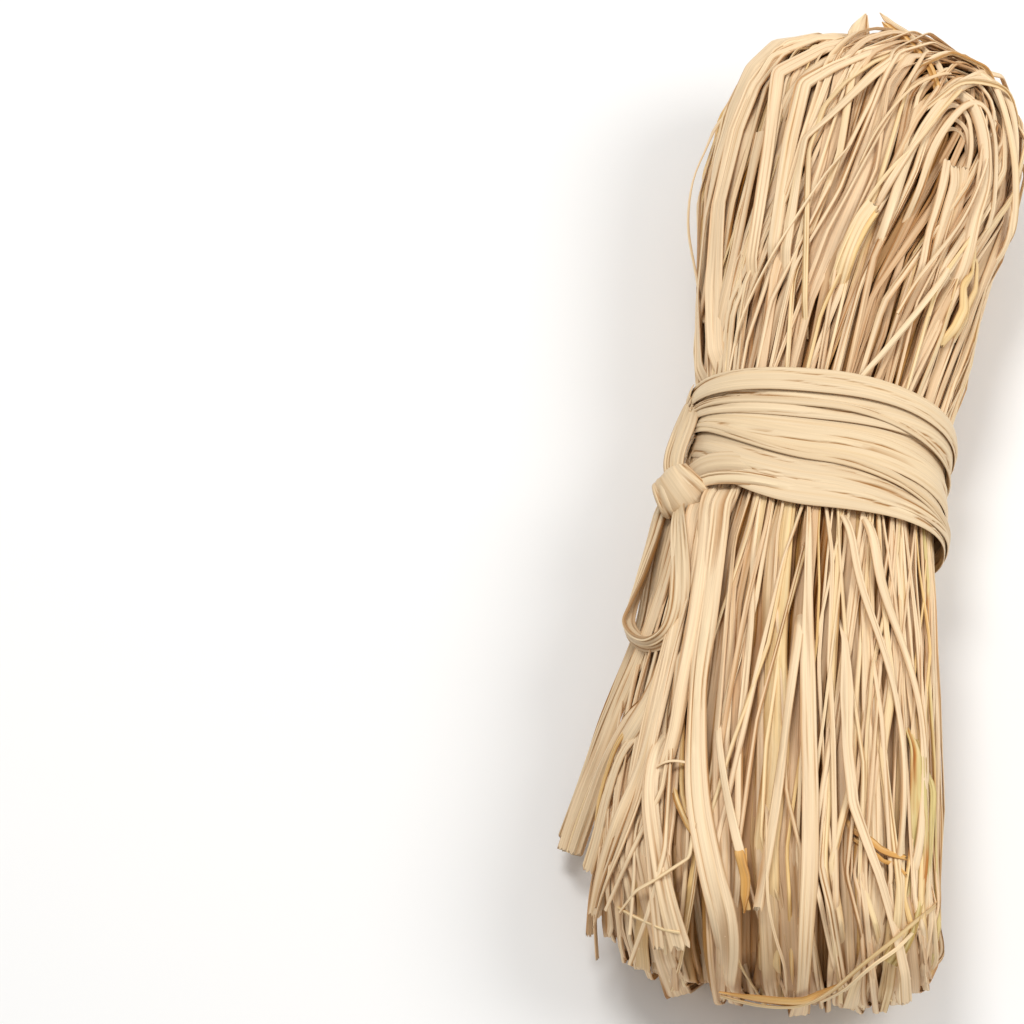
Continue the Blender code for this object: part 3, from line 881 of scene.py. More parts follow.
def smooth_line(points, steps=10):
    """More points along one smooth curve through the given ones (a Catmull-Rom curve)."""
    p = np.asarray(points, float)
    p = np.concatenate((2 * p[:1] - p[1:2], p, 2 * p[-1:] - p[-2:-1]))
    made = []
    for k in range(len(p) - 3):
        a, b, c, d = p[k:k + 4]
        for i in range(steps + (k == len(p) - 4)):
            u = i / steps
            made.append(0.5 * (2 * b + (c - a) * u + (2 * a - 5 * b + 4 * c - d) * u ** 2
                               + (3 * b - a - 3 * c + d) * u ** 3))
    return np.array(made)


def outward(points):
    """The way out of the hank beside each point."""
    x0, z0, half_width, half_height = section(np.clip(points[:, 1], -118, 118))
    ends = np.clip((np.abs(points[:, 1]) - FRONT_ROUNDS_FROM) / (HALF_LENGTH - FRONT_ROUNDS_FROM), 0, 1.2)
    ends = ends * np.sign(points[:, 1])
    return unit(np.stack(((points[:, 0] - x0) / half_width ** 2, ends ** 3 / 40,
                          (points[:, 2] - z0) / half_height ** 2), axis=1))


def over_hank(x, y, lift):
    """The point over the hank's front at (x, y), lift off its surface."""
    x0, z0, half_width, half_height = (float(v) for v in section(y))
    past_side = max((abs(y) - SIDE_ROUNDS_FROM) / (HALF_LENGTH - SIDE_ROUNDS_FROM), 0)
    past_front = max((abs(y) - FRONT_ROUNDS_FROM) / (HALF_LENGTH - FRONT_ROUNDS_FROM), 0)
    corner = max(1 - past_side ** 3.0, 0) ** (1 / 3)
    fold = max(1 - past_front ** 2, 0) ** 0.5
    half_width *= 0.55 + 0.45 * corner
    half_height *= max(fold, 0.06)
    side = min(abs(x - x0) / (half_width + lift), 0.98)
    rise = (1 - side ** SQUARENESS) ** (1 / SQUARENESS)
    return (x, y, z0 + (half_height + lift) * rise)


def routed(rng, points, width, tone, smooth=3, curved=True, step=3.2, tight=0.16, outs=None,
           facing=None, **more):
    """A strip along a route given by a few points. Its flat faces out of the hank, or the given way."""
    points = smooth_line(points) if curved else np.asarray(points, float)
    if outs is None:
        outs = outward(points) if facing is None else outward(points) * 0.35 + np.array(facing)
    outs = unit(np.asarray(outs, float))
    place, out, along = even_path(points, outs, smooth, step=step, tight=tight)
    return strip(rng, place, out, along, width, tone, **more)


def leaf(width, tone, *route, lift=0.9, buried=(4.5, 0.0), plies=1, spread=(1.0, 1.0), **more):
    """What one routed leaf is made from.

    A place is (x, y) over the hank's front, or (x, y, z). buried is how deep each end goes in among the
    other leaves. plies are leaves side by side, with spread between them at the near and the far end."""
    return {"width": width, "tone": tone, "route": route, "lift": lift, "buried": buried, "plies": plies,
            "spread": spread, "more": more}


def lay(rng, facts):
    """The strips of one routed leaf."""
    points = np.array([p if len(p) == 3 else over_hank(*p, facts["lift"]) for p in facts["route"]])
    for end, beside, depth in ((0, 1, facts["buried"][0]), (-1, -2, facts["buried"][1])):
        if depth:
            out = outward(points[[end]])[0]
            ahead = unit(points[end] - points[beside])
            points[end] += ahead * depth * 1.5
            points = np.insert(points, 1 if end == 0 else -1, points[end] - ahead * depth * 2.0, axis=0)
            points[end] -= out * depth
    if facts["plies"] == 1:
        return [routed(rng, points, facts["width"], facts["tone"], **facts["more"])]
    line = smooth_line(points)
    outs = outward(line)
    across = unit(np.cross(outs, np.gradient(line, axis=0)))
    share = np.linspace(0, 1, len(line)) ** 2
    spread = facts["spread"]
    made = []
    for k in range(facts["plies"]):
        offset = (k - (facts["plies"] - 1) / 2) * facts["width"] * (
            spread[0] + (spread[1] - spread[0]) * share)
        path = line + across * offset[:, None] + outs * rng.uniform(-0.3, 0.5)
        cut = len(line) - int(rng.uniform(0, 0.06) * len(line))
        more = dict(facts["more"], curved=False, outs=outs[:cut])
        made.append(routed(rng, path[:cut], facts["width"] * rng.uniform(0.85, 1.25),
                           facts["tone"] + rng.normal(0, 0.05), **more))
    return made


def lay_pieces(table, seed, material):
    """One piece for each row of a table: the CAD strand that it stands for, and its leaves."""
    rng = np.random.default_rng(seed)
    for node, leaves in table:
        strips = [s for facts in leaves for s in lay(rng, facts)]
        make_piece(f"{node}_leaf", strips, material, [node])


# ---------------------------------------------------------------- the tie


# The turns of the tie, from the top down: the shares of the band's width where each one's upper and lower
# edges lie at the left, over the front, at the right and under the back, and how many leaves it lies over.
TURNS = (
    ("tie_strip_1", ((0.00, 0.26), (-0.02, 0.17), (-0.02, 0.16), (0.00, 0.20)), 2.4),
    ("tie_strip_2", ((0.14, 0.44), (0.13, 0.35), (0.03, 0.28), (0.14, 0.40)), 1.2),
    ("tie_strip_2", ((0.26, 0.36), (0.20, 0.27), (0.30, 0.40), (0.30, 0.40)), 2.0),
    ("tie_strip_3", ((0.36, 0.58), (0.31, 0.48), (0.26, 0.50), (0.30, 0.56)), 0.1),
    ("tie_strip_4", ((0.44, 0.62), (0.40, 0.60), (0.46, 0.74), (0.44, 0.70)), 1.5),
    ("tie_strip_5", ((0.56, 0.74), (0.54, 0.72), (0.68, 0.86), (0.60, 0.84)), 0.4),
    ("tie_strip_5", ((0.48, 0.58), (0.58, 0.67), (0.84, 0.93), (0.60, 0.70)), 2.2),
    ("tie_strip_6", ((0.68, 0.92), (0.66, 0.86), (0.80, 0.97), (0.72, 0.94)), 1.6),
    ("tie_strip_7", ((0.82, 1.00), (0.80, 1.01), (0.88, 1.02), (0.82, 1.00)), 0.7),
)
TIE_COLUMNS = 21
TIE_POINTS = 150
# The waist's half width and half height under the tie, and its mean radius.
WAIST_HALF = (32, 26)
WAIST_RADIUS = 30
# Creases of the tie's leaves sharper than this many degrees show as an edge.
TIE_SHARP = 46
# How far past the left each turn starts and ends, in radians, and how far its end stands over its start.
LAP = (0.1, 0.35)
LAP_LIFT = 0.9


def tie_share(angle, shares):
    """Where along Y a share of the tie's band lies at each angle. The share itself changes round it."""
    c2 = np.cos(angle) ** 2
    s2 = 1 - c2
    left = np.cos(angle) < 0
    front = np.sin(angle) > 0
    at_left, at_front, at_right, at_back = shares
    share = np.where(left, at_left, at_right) * c2 + np.where(front, at_front, at_back) * s2
    upper, lower = (
        np.where(left, TIE_LEFT[i], TIE_RIGHT[i]) * c2 + np.where(front, TIE_FRONT[i], TIE_BACK[i]) * s2
        for i in (0, 1))
    return upper + (lower - upper) * share


def tie_turn(rng, edges, order, tone):
    """One turn of the tie round the waist, its ends lapped at the left."""
    tie = bpy.context.scene.raffia_tie
    angle = np.linspace(math.pi - LAP[0], -math.pi - LAP[1], TIE_POINTS)
    high = tie_share(angle, [e[0] for e in edges])
    low = tie_share(angle, [e[1] for e in edges])
    middle = (high + low) / 2
    lap = np.interp(-angle, (math.pi - LAP[0], math.pi + LAP[1]), (0.0, LAP_LIFT))
    lift = 1.15 + tie.turn_lift / MM * order + lap
    scale = 1 + lift / WAIST_RADIUS
    points = in_section(np.cos(angle) * scale, np.sin(angle) * scale, middle)
    points[:, 2] = np.maximum(points[:, 2], 0.5)
    outs = np.stack((np.cos(angle) / WAIST_HALF[0], np.zeros(len(angle)), np.sin(angle) / WAIST_HALF[1]),
                    axis=1)
    place, out, along = even_path(points, unit(outs), 3, step=2.4)
    made = strip(rng, place, out, along, 1.0, tone, columns=TIE_COLUMNS, kind="flat", roll=(0, 0),
                 crumple=0.0)
    share = along / along[-1]
    made["widths"] = np.interp(share, np.linspace(0, 1, len(angle)), high - low) * (
        1 + wander(rng, along, 24, 0.035))
    x = made["x"] * 2
    # Each leaf's lower edge stands off a little, so that it shades the one below it.
    level = -0.25 * x ** 2 - 0.30 * np.abs(x) ** 9 - 0.34 * x
    profile = np.repeat(level[None], len(along), axis=0)
    profile += wander(rng, along, 30, 0.16)[:, None] * x[None] + wander(rng, along, 22, 0.16)[:, None]
    # Long creases cross the leaf slantwise, sharp on one side, and the leaf swells between them.
    creased = np.zeros_like(profile)
    for _ in range(int(4 + 1.3 * (high - low).mean())):
        middle = rng.uniform(0, along[-1])
        reach = rng.uniform(10, 32)
        slant = rng.choice((-1, -1, 1)) * rng.uniform(0.003, 0.022)
        line = rng.uniform(-0.8, 0.8) + slant * (along - middle)
        fading = np.clip(1 - ((along - middle) / reach) ** 2, 0, 1)
        deep = rng.uniform(0.4, 1.2) * tie.crease_depth / MM * fading
        away = x[None] - line[:, None]
        dent = deep[:, None] * np.where(away > 0, np.exp(-away / 0.06), np.exp(away / 0.40))
        creased = np.maximum(creased, dent)
    made["profile"] = profile - creased
    # The ridge gives a painted highlight on crests and painted shade in creases and along the edges.
    made["ridge"] = ridges(made["profile"], made["widths"], gain=1.3, edge=-0.55)
    return made


class RAFFIA_OT_add_tie(bpy.types.Operator):
    """Add the seven turns of smooth leaf that tie the hank's waist"""

    bl_idname = "raffia.add_tie"
    bl_label = "Add Tie"

    def execute(self, context):
        rng = np.random.default_rng(TIE_SEED)
        turns = {}
        for node, edges, order in TURNS:
            turns.setdefault(node, []).append(tie_turn(rng, edges, order, rng.uniform(0.25, 0.75)))
        for node, leaves in turns.items():
            make_piece(f"{node}_leaf", leaves, young_leaf(), [node], sharp=TIE_SHARP)
        return {"FINISHED"}


# ---------------------------------------------------------------- the knot and what hangs from it


KNOT_CENTRE = np.array((-35.8, -7.3, 40.0))
KNOT_AXIS = (0.74, 0.56, 0.36)
KNOT_COLUMNS = 15
KNOT_POINTS = 90

# Each leaf round the knot: how far along its axis, width (None is the broad leaf's), radii, first angle and
# sweep in degrees, lift, how far its edges close in, and how its own axis tilts.
KNOT_TURNS = (
    (-3.9, 5.2, (5.6, 4.2), -60, 330, 0.2, 0.8, (0.10, -0.20, 0.0)),
    (4.0, 5.0, (5.6, 4.0), -20, 330, 0.2, 0.8, (-0.05, 0.22, 0.1)),
    (0.0, None, (6.6, 4.6), -30, 372, 0.6, 0.85, (0.0, 0.0, 0.0)),
)


def knot_turn(rng, place_along, width, radii, start, sweep, lift, hug, tilt, tone):
    """One turn of leaf round the knot, hugging it so that its edges close in."""
    axis = unit(np.array(KNOT_AXIS) + np.array(tilt))
    side = unit(np.cross(axis, (0.0, 0.0, 1.0)))
    up = np.cross(side, axis)
    angle = np.radians(np.linspace(start, start + sweep, KNOT_POINTS))
    cos, sin = np.cos(angle)[:, None], np.sin(angle)[:, None]
    grow = np.linspace(0, 0.5, KNOT_POINTS)[:, None]
    points = (KNOT_CENTRE + axis * place_along + side[None] * cos * (radii[0] + lift + grow)
              + up[None] * sin * (radii[1] + lift + grow))
    outs = unit(side[None] * cos / radii[0] + up[None] * sin / radii[1])
    place, out, along = even_path(points, outs, 2, step=1.3)
    made = strip(rng, place, out, along, width, tone, columns=KNOT_COLUMNS, kind="flat", roll=(0, 0),
                 crumple=0.0, vary=0.05)
    x = made["x"] * 2
    bow = 1 - np.sqrt(np.clip(1 - 0.94 * x[None] ** 2, 0, 1))
    profile = -hug * width / 2 * bow + np.zeros((len(along), 1))
    for _ in range(6):
        line = rng.uniform(-0.75, 0.75) + rng.normal(0, 0.02) * (along - along.mean())
        away = x[None] - line[:, None]
        profile -= rng.uniform(0.15, 0.45) * np.where(away > 0, np.exp(-away / 0.07), np.exp(away / 0.25))
    made["profile"] = profile
    # The ridge gives a painted highlight on crests and painted shade in creases and along the edges.
    made["ridge"] = ridges(profile, made["widths"], gain=1.0)
    return made


# The two leaves that run from the knot on over the tie's lower edge.
KNOT_TO_TIE = (
    leaf(3.6, 0.5, (-35.5, -7, 41), (-32.0, -5.6, 43.6), (-27.6, -5.2, 46.4), (-20, -6.2, 49.8),
         (-9, -8.2, 51.7), (1, -9.6, 51.4), (9, -10.4, 48.6), kind="roof", columns=9, roll=(15, 5, 0),
         buried=(0, 3)),
    leaf(5.6, 0.42, (-35.0, -4, 40), (-32.6, -1.2, 42.2), (-28.4, -0.4, 45.2), (-21, -1.4, 48.6),
         (-11, -3.6, 50.4), (-2, -5.4, 50.6), (6, -7, 48.6), kind="flat", columns=10, roll=(10, 5, 0),
         buried=(0, 3)),
)

# The leaves that come down from the tie to the knot, the bow loop and the tails.
HANGING = (
    ("riser", (
        # This broad leaf lies behind the others, with painted shade.
        leaf(8.0, 0.30, (-29.5, 31, 25), (-31.4, 24, 29), (-32.8, 16, 31), (-34.4, 8, 33), (-35.6, 0, 35),
             (-35.6, -5, 36), kind="flat", roll=(0, 0), facing=LEFTWARD, shade=0.25, buried=(0, 0)),
        leaf(4.4, 0.34, (-30.0, 30.5, 28), (-34.6, 28, 30), (-36.2, 24, 32), (-37.7, 16.6, 34.3),
             (-39.5, 5.6, 38.0), (-39.4, 0, 39.5), (-38.0, -5, 39.3), kind="fold", columns=10,
             roll=(10, -5, -15), facing=LEFTWARD, buried=(0, 0)),
        leaf(3.7, 0.48, (-29.0, 29, 31), (-33.4, 26.5, 32.6), (-35.0, 22.5, 34.2), (-35.8, 15.6, 36.6),
             (-37.5, 5.6, 39.9), (-37.8, 0, 41.2), (-37, -5, 41), kind="roof", columns=9, roll=(-5, 10, 15),
             facing=LEFTWARD, buried=(0, 0)),
    )),
    ("bow_loop", (
        leaf(4.3, 0.42, (-37.0, -6, 38), (-40.6, -10.5, 35.6), (-42.2, -19, 34.5), (-44.2, -30, 34.5),
             (-46.0, -39.5, 34.8), (-46.6, -44.5, 35.6), (-45.2, -48.5, 37.6), (-42.2, -51.8, 40.2),
             (-38.4, -53.6, 44.6), (-34.8, -51.6, 48.2), (-33.2, -45.6, 49.8), (-33.4, -37, 50.0),
             (-34.6, -27, 48.8), (-35.4, -19, 45.8), (-35.9, -13.4, 42.0), (-36.0, -8, 39.5),
             columns=12, kind="fold", smooth=2, tight=0.12, buried=(0, 0),
             roll=(-25, -15, 0, 35, 60, 40, 10, -10, -15)),
        leaf(2.5, 0.50, (-36.0, -7, 38), (-39.6, -11, 35.2), (-41.2, -19, 34.0), (-43.2, -30, 34.0),
             (-45.0, -38.5, 34.4), (-45.4, -43.5, 35.4), (-44.0, -47.0, 37.4), (-41.4, -50.0, 40.0),
             (-38.0, -51.8, 44.0), (-35.2, -50.0, 47.2), (-34.0, -44.5, 48.6), (-34.4, -36, 48.8),
             (-35.6, -26, 47.8), (-36.2, -18, 44.6), (-36.2, -12.6, 41.0),
             columns=8, kind="roof", smooth=2, tight=0.12, buried=(0, 0),
             roll=(20, 30, 50, 80, 95, 70, 30, 20, 10)),
    )),
    ("tail_outer", (
        leaf(2.0, 0.56, (-37, -7, 38), (-40.4, -14, 34.6), (-41.8, -26, 31.4), (-42.6, -38, 29),
             (-44.0, -46, 27.2), (-47.5, -58, 24.4), (-50.8, -69, 20.6), (-54.0, -82, 14.4),
             (-57.0, -93.5, 8.2), kind="fold", columns=8, ragged=(0, 1.0), flare=0.35, facing=LEFTWARD,
             buried=(0, 0)),
    )),
    ("tail_inner", (
        leaf(2.0, 0.46, (-36.5, -8, 38), (-39.4, -15, 34.2), (-40.8, -26, 31), (-41.4, -38, 28.8),
             (-42.6, -47, 27), (-46.2, -58, 24), (-49.4, -69, 20), (-52.6, -81, 14.4), (-55.4, -97, 8),
             kind="roof", columns=8, ragged=(0, 1.0), flare=0.45, facing=LEFTWARD, buried=(0, 0)),
        leaf(4.6, 0.34, (-36.0, -9, 37), (-37.6, -18, 36), (-38.8, -28, 36.6), (-39.4, -38, 37.4),
             (-40.2, -48, 37), (-41.6, -58, 35), shade=0.15, ragged=(0, 2.0), flare=0.3),
    )),
)


class RAFFIA_OT_add_knot(bpy.types.Operator):
    """Add the knot, the leaves that come down to it, the bow loop and its two tails"""

    bl_idname = "raffia.add_knot"
    bl_label = "Add Knot"

    def execute(self, context):
        rng = np.random.default_rng(KNOT_SEED)
        broad = context.scene.raffia_tie.knot_width / MM
        turns = [knot_turn(rng, at, width or broad, *others, rng.uniform(0.36, 0.5))
                 for at, width, *others in KNOT_TURNS]
        for facts in KNOT_TO_TIE:
            turns += lay(rng, facts)
        make_piece("knot_leaf", turns, young_leaf(), ["knot"], sharp=TIE_SHARP)
        lay_pieces(HANGING, HANGING_SEED, young_leaf())
        return {"FINISHED"}


# ---------------------------------------------------------------- strands over the upper end


TOP_STRANDS = (
    ("top_spike_pale", (
        leaf(6.6, 0.46, (-2.4, 120), (-1.8, 128, 51.2), (-1.0, 135, 48.8), (0.2, 141.9, 47), kind="roof",
             taper=(0, 7.5), facing=UPWARD, buried=(5, 0)),
    )),
    ("top_spike_ochre", (
        leaf(1.7, 0.52, (21.6, 122), (16.6, 129.5, 50.6), (12.2, 135.2, 49.0), (7.2, 139.6, 47),
             (3.6, 142.9, 46.8), taper=(0, 2), facing=UPWARD, buried=(5, 0)),
        leaf(2.4, 0.84, (19.6, 119), (15, 127.6, 51.2), (10.8, 133.8, 49.2), (7.6, 137.2, 46.8),
             (4.5, 140.2, 46.4), taper=(0, 2), facing=UPWARD, buried=(5, 0)),
    )),
    ("kinked_strip_outer", (
        leaf(3.3, 0.42, (-24, 56), (-22.6, 88), (-22.3, 103), (-22, 115.5), (-10, 124.5), (1, 132),
             (7, 137, 42), (10, 139.5, 28), kind="flat", lift=1.6, buried=(4.5, 4.5), **KINKED),
        leaf(3.0, 0.50, (-15.5, 58), (-14, 83), (-13.2, 93.5), (-8, 99.5), (-2, 107.5), (4, 116), (11, 126),
             (14, 133.5), (15, 137, 34), kind="flat", lift=1.5, buried=(4.5, 4.5), **KINKED),
    )),
    ("kinked_strip_inner", (
        leaf(3.6, 0.46, (-18.5, 60), (-17, 93), (-16, 102), (-15, 111.5), (-8, 117), (1, 124), (10, 130.5),
             (15, 135, 42), (17, 138, 27), kind="flat", lift=1.3, buried=(4.5, 4.5), **KINKED),
        leaf(1.8, 0.62, (-9, 44), (-11, 72), (-12, 90), (-9, 104), (-4, 112), (3, 120), (12, 129),
             (16, 135, 40), lift=1.0, buried=(4.5, 4), **KINKED),
    )),
    ("broad_strip_left", (
        leaf(4.4, 0.44, (-34.5, 31), (-37, 55), (-37.5, 77), (-36, 93), (-33.5, 108), (-29, 120),
             (-22.5, 130), (-14, 137, 42), (-7, 140, 30), kind="flat", lift=1.2, buried=(4.5, 4.5),
             **KINKED),
        leaf(4.8, 0.40, (-30.5, 33), (-33, 54), (-34, 78), (-31.5, 100), (-28, 113), (-22, 124),
             (-14, 131.5), (-4, 137, 42.5), (3, 140, 29), kind="flat", lift=1.0, buried=(4.5, 4.5),
             **KINKED),
        leaf(2.4, 0.52, (-27, 118), (-20, 128), (-8, 134), (4, 137, 43), (12, 138, 36), lift=1.4,
             buried=(4.5, 3.5), **KINKED),
        leaf(1.7, 0.46, (-30, 108), (-24, 122), (-12, 130.5), (3, 134.5), (15, 136.5, 40), lift=1.6,
             buried=(4.5, 3.5), **KINKED),
    )),
    ("arch_strand_outer", (
        leaf(2.6, 0.50, (10, 68), (15, 92), (21, 107), (27.5, 117), (34, 122.5), (40, 121), (43.5, 110),
             (44.5, 94), (43.5, 78), buried=(6, 4), lift=1.2),
        leaf(2.4, 0.46, (9, 80), (15, 94), (21, 105), (26.5, 117), (33, 126), (38.5, 130), (42.5, 128, 32),
             lift=1.5, smooth=2, curved=False),
        leaf(1.3, 0.60, (21, 110), (27, 117.2), (34, 120.5), (40.5, 121), (44.8, 115, 36), lift=2.0),
    )),
    ("arch_strand_inner", (
        leaf(2.2, 0.46, (18, 80), (21, 95), (25, 105), (29.5, 112), (34, 113), (37.4, 105), (38.6, 92),
             (38, 80), buried=(4.5, 4), lift=0.6),
        leaf(4.2, 0.44, (31, 62), (33.5, 80), (35.5, 91), (34.6, 103), (31.8, 111), (28.5, 114.5),
             buried=(4.5, 4), lift=0.6, kind="roof"),
        leaf(2.0, 0.55, (32, 125), (37, 120.5), (41, 110), (44, 99), (45, 84), buried=(3, 3), lift=1.6),
        # The leaves from here on lie deeper, down in the eye, and most get a little painted shade.
        leaf(3.2, 0.42, (25.0, 56), (26.8, 70), (28.8, 80), (29.6, 88), (30.0, 94), lift=-1.0,
             ragged=(0, 1.2), shade=0.10, buried=(4, 0)),
        leaf(3.0, 0.46, (22.4, 56), (24.4, 70), (26.4, 80), (27.8, 87), (27.2, 92), lift=-0.6,
             ragged=(0, 1.0), shade=0.05, buried=(4, 0)),
        leaf(2.6, 0.40, (20.6, 58), (21.8, 71), (23, 77), (24.6, 86), (25.2, 93.5), lift=-0.4,
             ragged=(0, 1.0), buried=(4, 0)),
        leaf(1.6, 0.46, (16, 86), (19.5, 99), (23.2, 109.1), (25.9, 111), (29, 109.7), (30.6, 106),
             (31.6, 96), lift=-0.4, shade=0.06, buried=(3, 4)),
        leaf(1.5, 0.40, (15, 80), (19, 95), (22.2, 105.2), (25.6, 107.2), (29.2, 105.4), (31, 99),
             lift=-1.2, shade=0.14, buried=(3, 4)),
        leaf(1.6, 0.44, (17, 78), (20.6, 94), (23, 102.4), (25.8, 104.8), (28.6, 104), (30.6, 99.6),
             lift=-2.2, shade=0.24, buried=(3, 4)),
    )),
    ("torn_flap", (
        leaf(3.4, 0.60, (-0.4, 54), (1.4, 62), (3.6, 69), (6.8, 75.0), lift=1.5, ragged=(0, 1.0),
             flare=0.15, roll=(-20, 5, 25), buried=(5, 0)),
        leaf(1.6, 0.80, (1.2, 54), (3.0, 62), (5.6, 69), (7.6, 73), lift=1.2, ragged=(0, 1.0),
             buried=(5, 0)),
        leaf(1.2, 0.60, (-2, 56), (1, 66), (6, 78), (11, 87), (16, 94), (22, 106), (27, 115), lift=1.6,
             buried=(4.5, 3)),
    )),
    ("crumpled_flap_top", (
        leaf(2.3, 0.72, (34.2, 72), (34.6, 65), (32.4, 60), (33.0, 54), (30.6, 46), lift=1.3,
             ragged=(0.8, 0.8), roll=(40, -35, 30, -20), buried=(3, 3), **KINKED),
        leaf(1.5, 0.70, (35.6, 70), (35.8, 62), (34.0, 56), (33.6, 50), lift=1.2, roll=(-30, 40, -10),
             buried=(3, 3), **KINKED),
        leaf(1.0, 0.50, (3, 90), (6, 98), (10, 106), (15, 113), (22, 119), lift=1.8, buried=(4.5, 3)),
    )),
    ("crossing_strand_top", (
        leaf(1.4, 0.52, (28, 62), (21, 48), (12, 33), (8, 27), lift=1.5, buried=(4.5, 4)),
        leaf(1.0, 0.50, (-26, 38), (-19, 58), (-8, 80), (-1, 92), lift=1.7),
        leaf(1.1, 0.46, (36, 96), (30, 76), (20, 56), (15, 44), lift=1.9),
    )),
    # After the slack strand come two leaves that lie deeper, between the broad and the kinked ones, with a
    # little painted shade.
    ("slack_strand_left", (
        leaf(1.2, 0.50, (-36, 112, 36), (-39.4, 102, 34), (-42.0, 92, 32.5), (-41.8, 78, 31.5),
             (-38.4, 64, 31), (-34.5, 48, 32)),
        leaf(3.6, 0.40, (-31.0, 40), (-29.4, 56), (-28.1, 70), (-26.6, 84), (-25.2, 98), lift=0.3,
             shade=0.10),
        leaf(3.2, 0.42, (-20, 104), (-16.5, 111.6), (-12.7, 116.9), (-7.5, 121.4), (0, 127), lift=0.6,
             shade=0.10),
    )),
)


# ---------------------------------------------------------------- strands over the lower end


FRONT_STRANDS = (
    ("broad_strip_front", (
        leaf(6.4, 0.43, (-25, -11), (-25, -21), (-25.4, -43), (-26, -70), (-23.4, -98), (-18.6, -117),
             (-14.4, -128), (-12.6, -134, 43), (-12, -137, 28), kind="flat", lift=1.7, columns=11, smooth=4,
             buried=(4.5, 4)),
    )),
    ("bright_strand_outer", (
        leaf(2.5, 0.50, (13.4, -17), (18, -35), (26, -54), (30, -68), (32, -86), (31.5, -108), lift=1.5,
             buried=(4.5, 4)),
    )),
    ("bright_strand_inner", (
        leaf(2.2, 0.46, (7.6, -18), (12, -35), (20, -55), (24.5, -70), (27, -88), (27, -112), lift=1.6,
             buried=(4.5, 4)),
    )),
    ("yellow_strip", (
        leaf(4.4, 0.975, (29.2, -74), (30.2, -84), (31, -94), (32, -104), (31.4, -118), (29.5, -128),
             lift=1.2, buried=(4.5, 3)),
        leaf(2.0, 0.99, (34.0, -82), (34.6, -92), (34.8, -108), (33.4, -120), lift=1.3, buried=(4.5, 3)),
    )),
    ("bent_tip_strand", (
        leaf(3.2, 0.43, (8.8, -50), (10.2, -62), (12, -82), (14.5, -97), (19, -107), (22.4, -114),
             (28, -126.5), (31, -134, 42), (32.4, -138.5, 34), lift=1.8, ragged=(0, 1.2), taper=(26, 0),
             kind="flat", **KINKED),
        leaf(2.3, 0.82, (19, -104.5), (22, -107), (25, -107.4), (29, -106.8), lift=1.9, ragged=(0, 1.2),
             flare=0.3, roll=(30, -10, -35), **KINKED),
        leaf(1.4, 0.86, (20, -107.5), (23, -110), (26, -109.6), (29, -111.4), lift=1.6, ragged=(0, 0.8),
             roll=(-20, 30, 0), **KINKED),
    )),
    ("bottom_ochre_strand", (
        leaf(1.3, 0.66, (38.2, -113.5, 41), (32.4, -121.6, 47), (27.6, -127.4, 48), (20, -134.2, 45),
             (13.6, -138.8, 38), (6.8, -141.3, 33), (-1, -141.8, 31.6), (-8, -141.0, 31),
             (-13, -139.6, 30)),
        leaf(1.1, 0.56, (36, -117, 43.4), (28.8, -128.9, 46.4), (22.6, -134, 44.6), (16.7, -138.4, 38.6),
             (11.5, -140.2, 34)),
        leaf(2.8, 0.84, (11, -140.4, 35.5), (5, -141.4, 34), (-2, -141.2, 33), (-8, -140.4, 32),
             (-14, -139.2, 31), taper=(7, 10)),
    )),
    ("folded_strip_bottom", (
        leaf(4.2, 0.42, (-2.8, -15), (-1.5, -34), (0, -56), (2, -78), (4, -96), (5.4, -114), (6, -126),
             (6.5, -134, 47), (7, -138.6, 36), (7, -138.8, 22), (7, -134.6, 10.5), kind="flat", lift=1.4,
             taper=(52, 0), buried=(4.5, 4)),
    )),
    ("ochre_end", (
        leaf(1.9, 0.48, (-20, -82), (-17, -96), (-13.8, -107), (-11.8, -113), lift=1.7, buried=(4.5, 1)),
        leaf(2.1, 0.86, (-12.0, -113), (-11.0, -116.4), (-9.7, -119.6), (-9.4, -125.5), lift=1.6,
             taper=(2, 5), roll=(-35, 30, -20, 40), kind="fold", buried=(1.5, 1), **KINKED),
        leaf(1.2, 0.82, (-10.6, -114), (-10.0, -117.6), (-10.3, -121), (-8.8, -125), lift=1.2,
             roll=(30, -30, 20), buried=(1.5, 1), **KINKED),
    )),
    ("crossing_strand_bottom", (
        leaf(1.3, 0.56, (-37.5, -122.6), (-31.7, -120.3), (-27.6, -117.9), (-23.8, -115.4), (-23.4, -106),
             lift=2.2, **KINKED),
        leaf(1.2, 0.66, (-38, -126), (-34, -128.2), (-28.6, -130.6), (-24, -131.4), lift=1.7, **KINKED),
    )),
    ("fine_strand_long", (
        leaf(1.3, 0.50, (-31.6, -58), (-31.6, -72), (-30.7, -94), (-29.9, -112.8), (-30.6, -118),
             (-32.4, -127.4), (-35.7, -136.5, 34.5), lift=2.0, **KINKED),
    )),
    ("fine_strand_short", (
        leaf(1.5, 0.48, (-31, -66), (-31.2, -83), (-32.2, -97), (-38.4, -113.6), (-43.2, -124.3, 37),
             lift=1.8, **KINKED),
        leaf(1.4, 0.80, (-29.4, -97.5), (-27.4, -102), (-24.8, -107), (-23.2, -109), lift=1.2,
             roll=(10, -10, 20), buried=(4.5, 1.5), **KINKED),
        leaf(1.2, 0.50, (-34.6, -90.6), (-31.4, -89.6), (-28.0, -89.8), lift=2.3, kind="roof",
             buried=(3, 2.5), **KINKED),
    )),
    ("cut_end_front_inner", (
        leaf(2.6, 0.45, (-2.5, -50), (-3.4, -72), (-4, -92), (-5, -112), (-6, -126), lift=1.4,
             ragged=(0, 1.6)),
        leaf(0.9, 0.52, (-6, -104), (-4.1, -122.9), (-1.4, -130.6), (1.8, -136, 43.6), (3.4, -139.6, 33),
             lift=1.3),
    )),
)


# ---------------------------------------------------------------- the cut ends


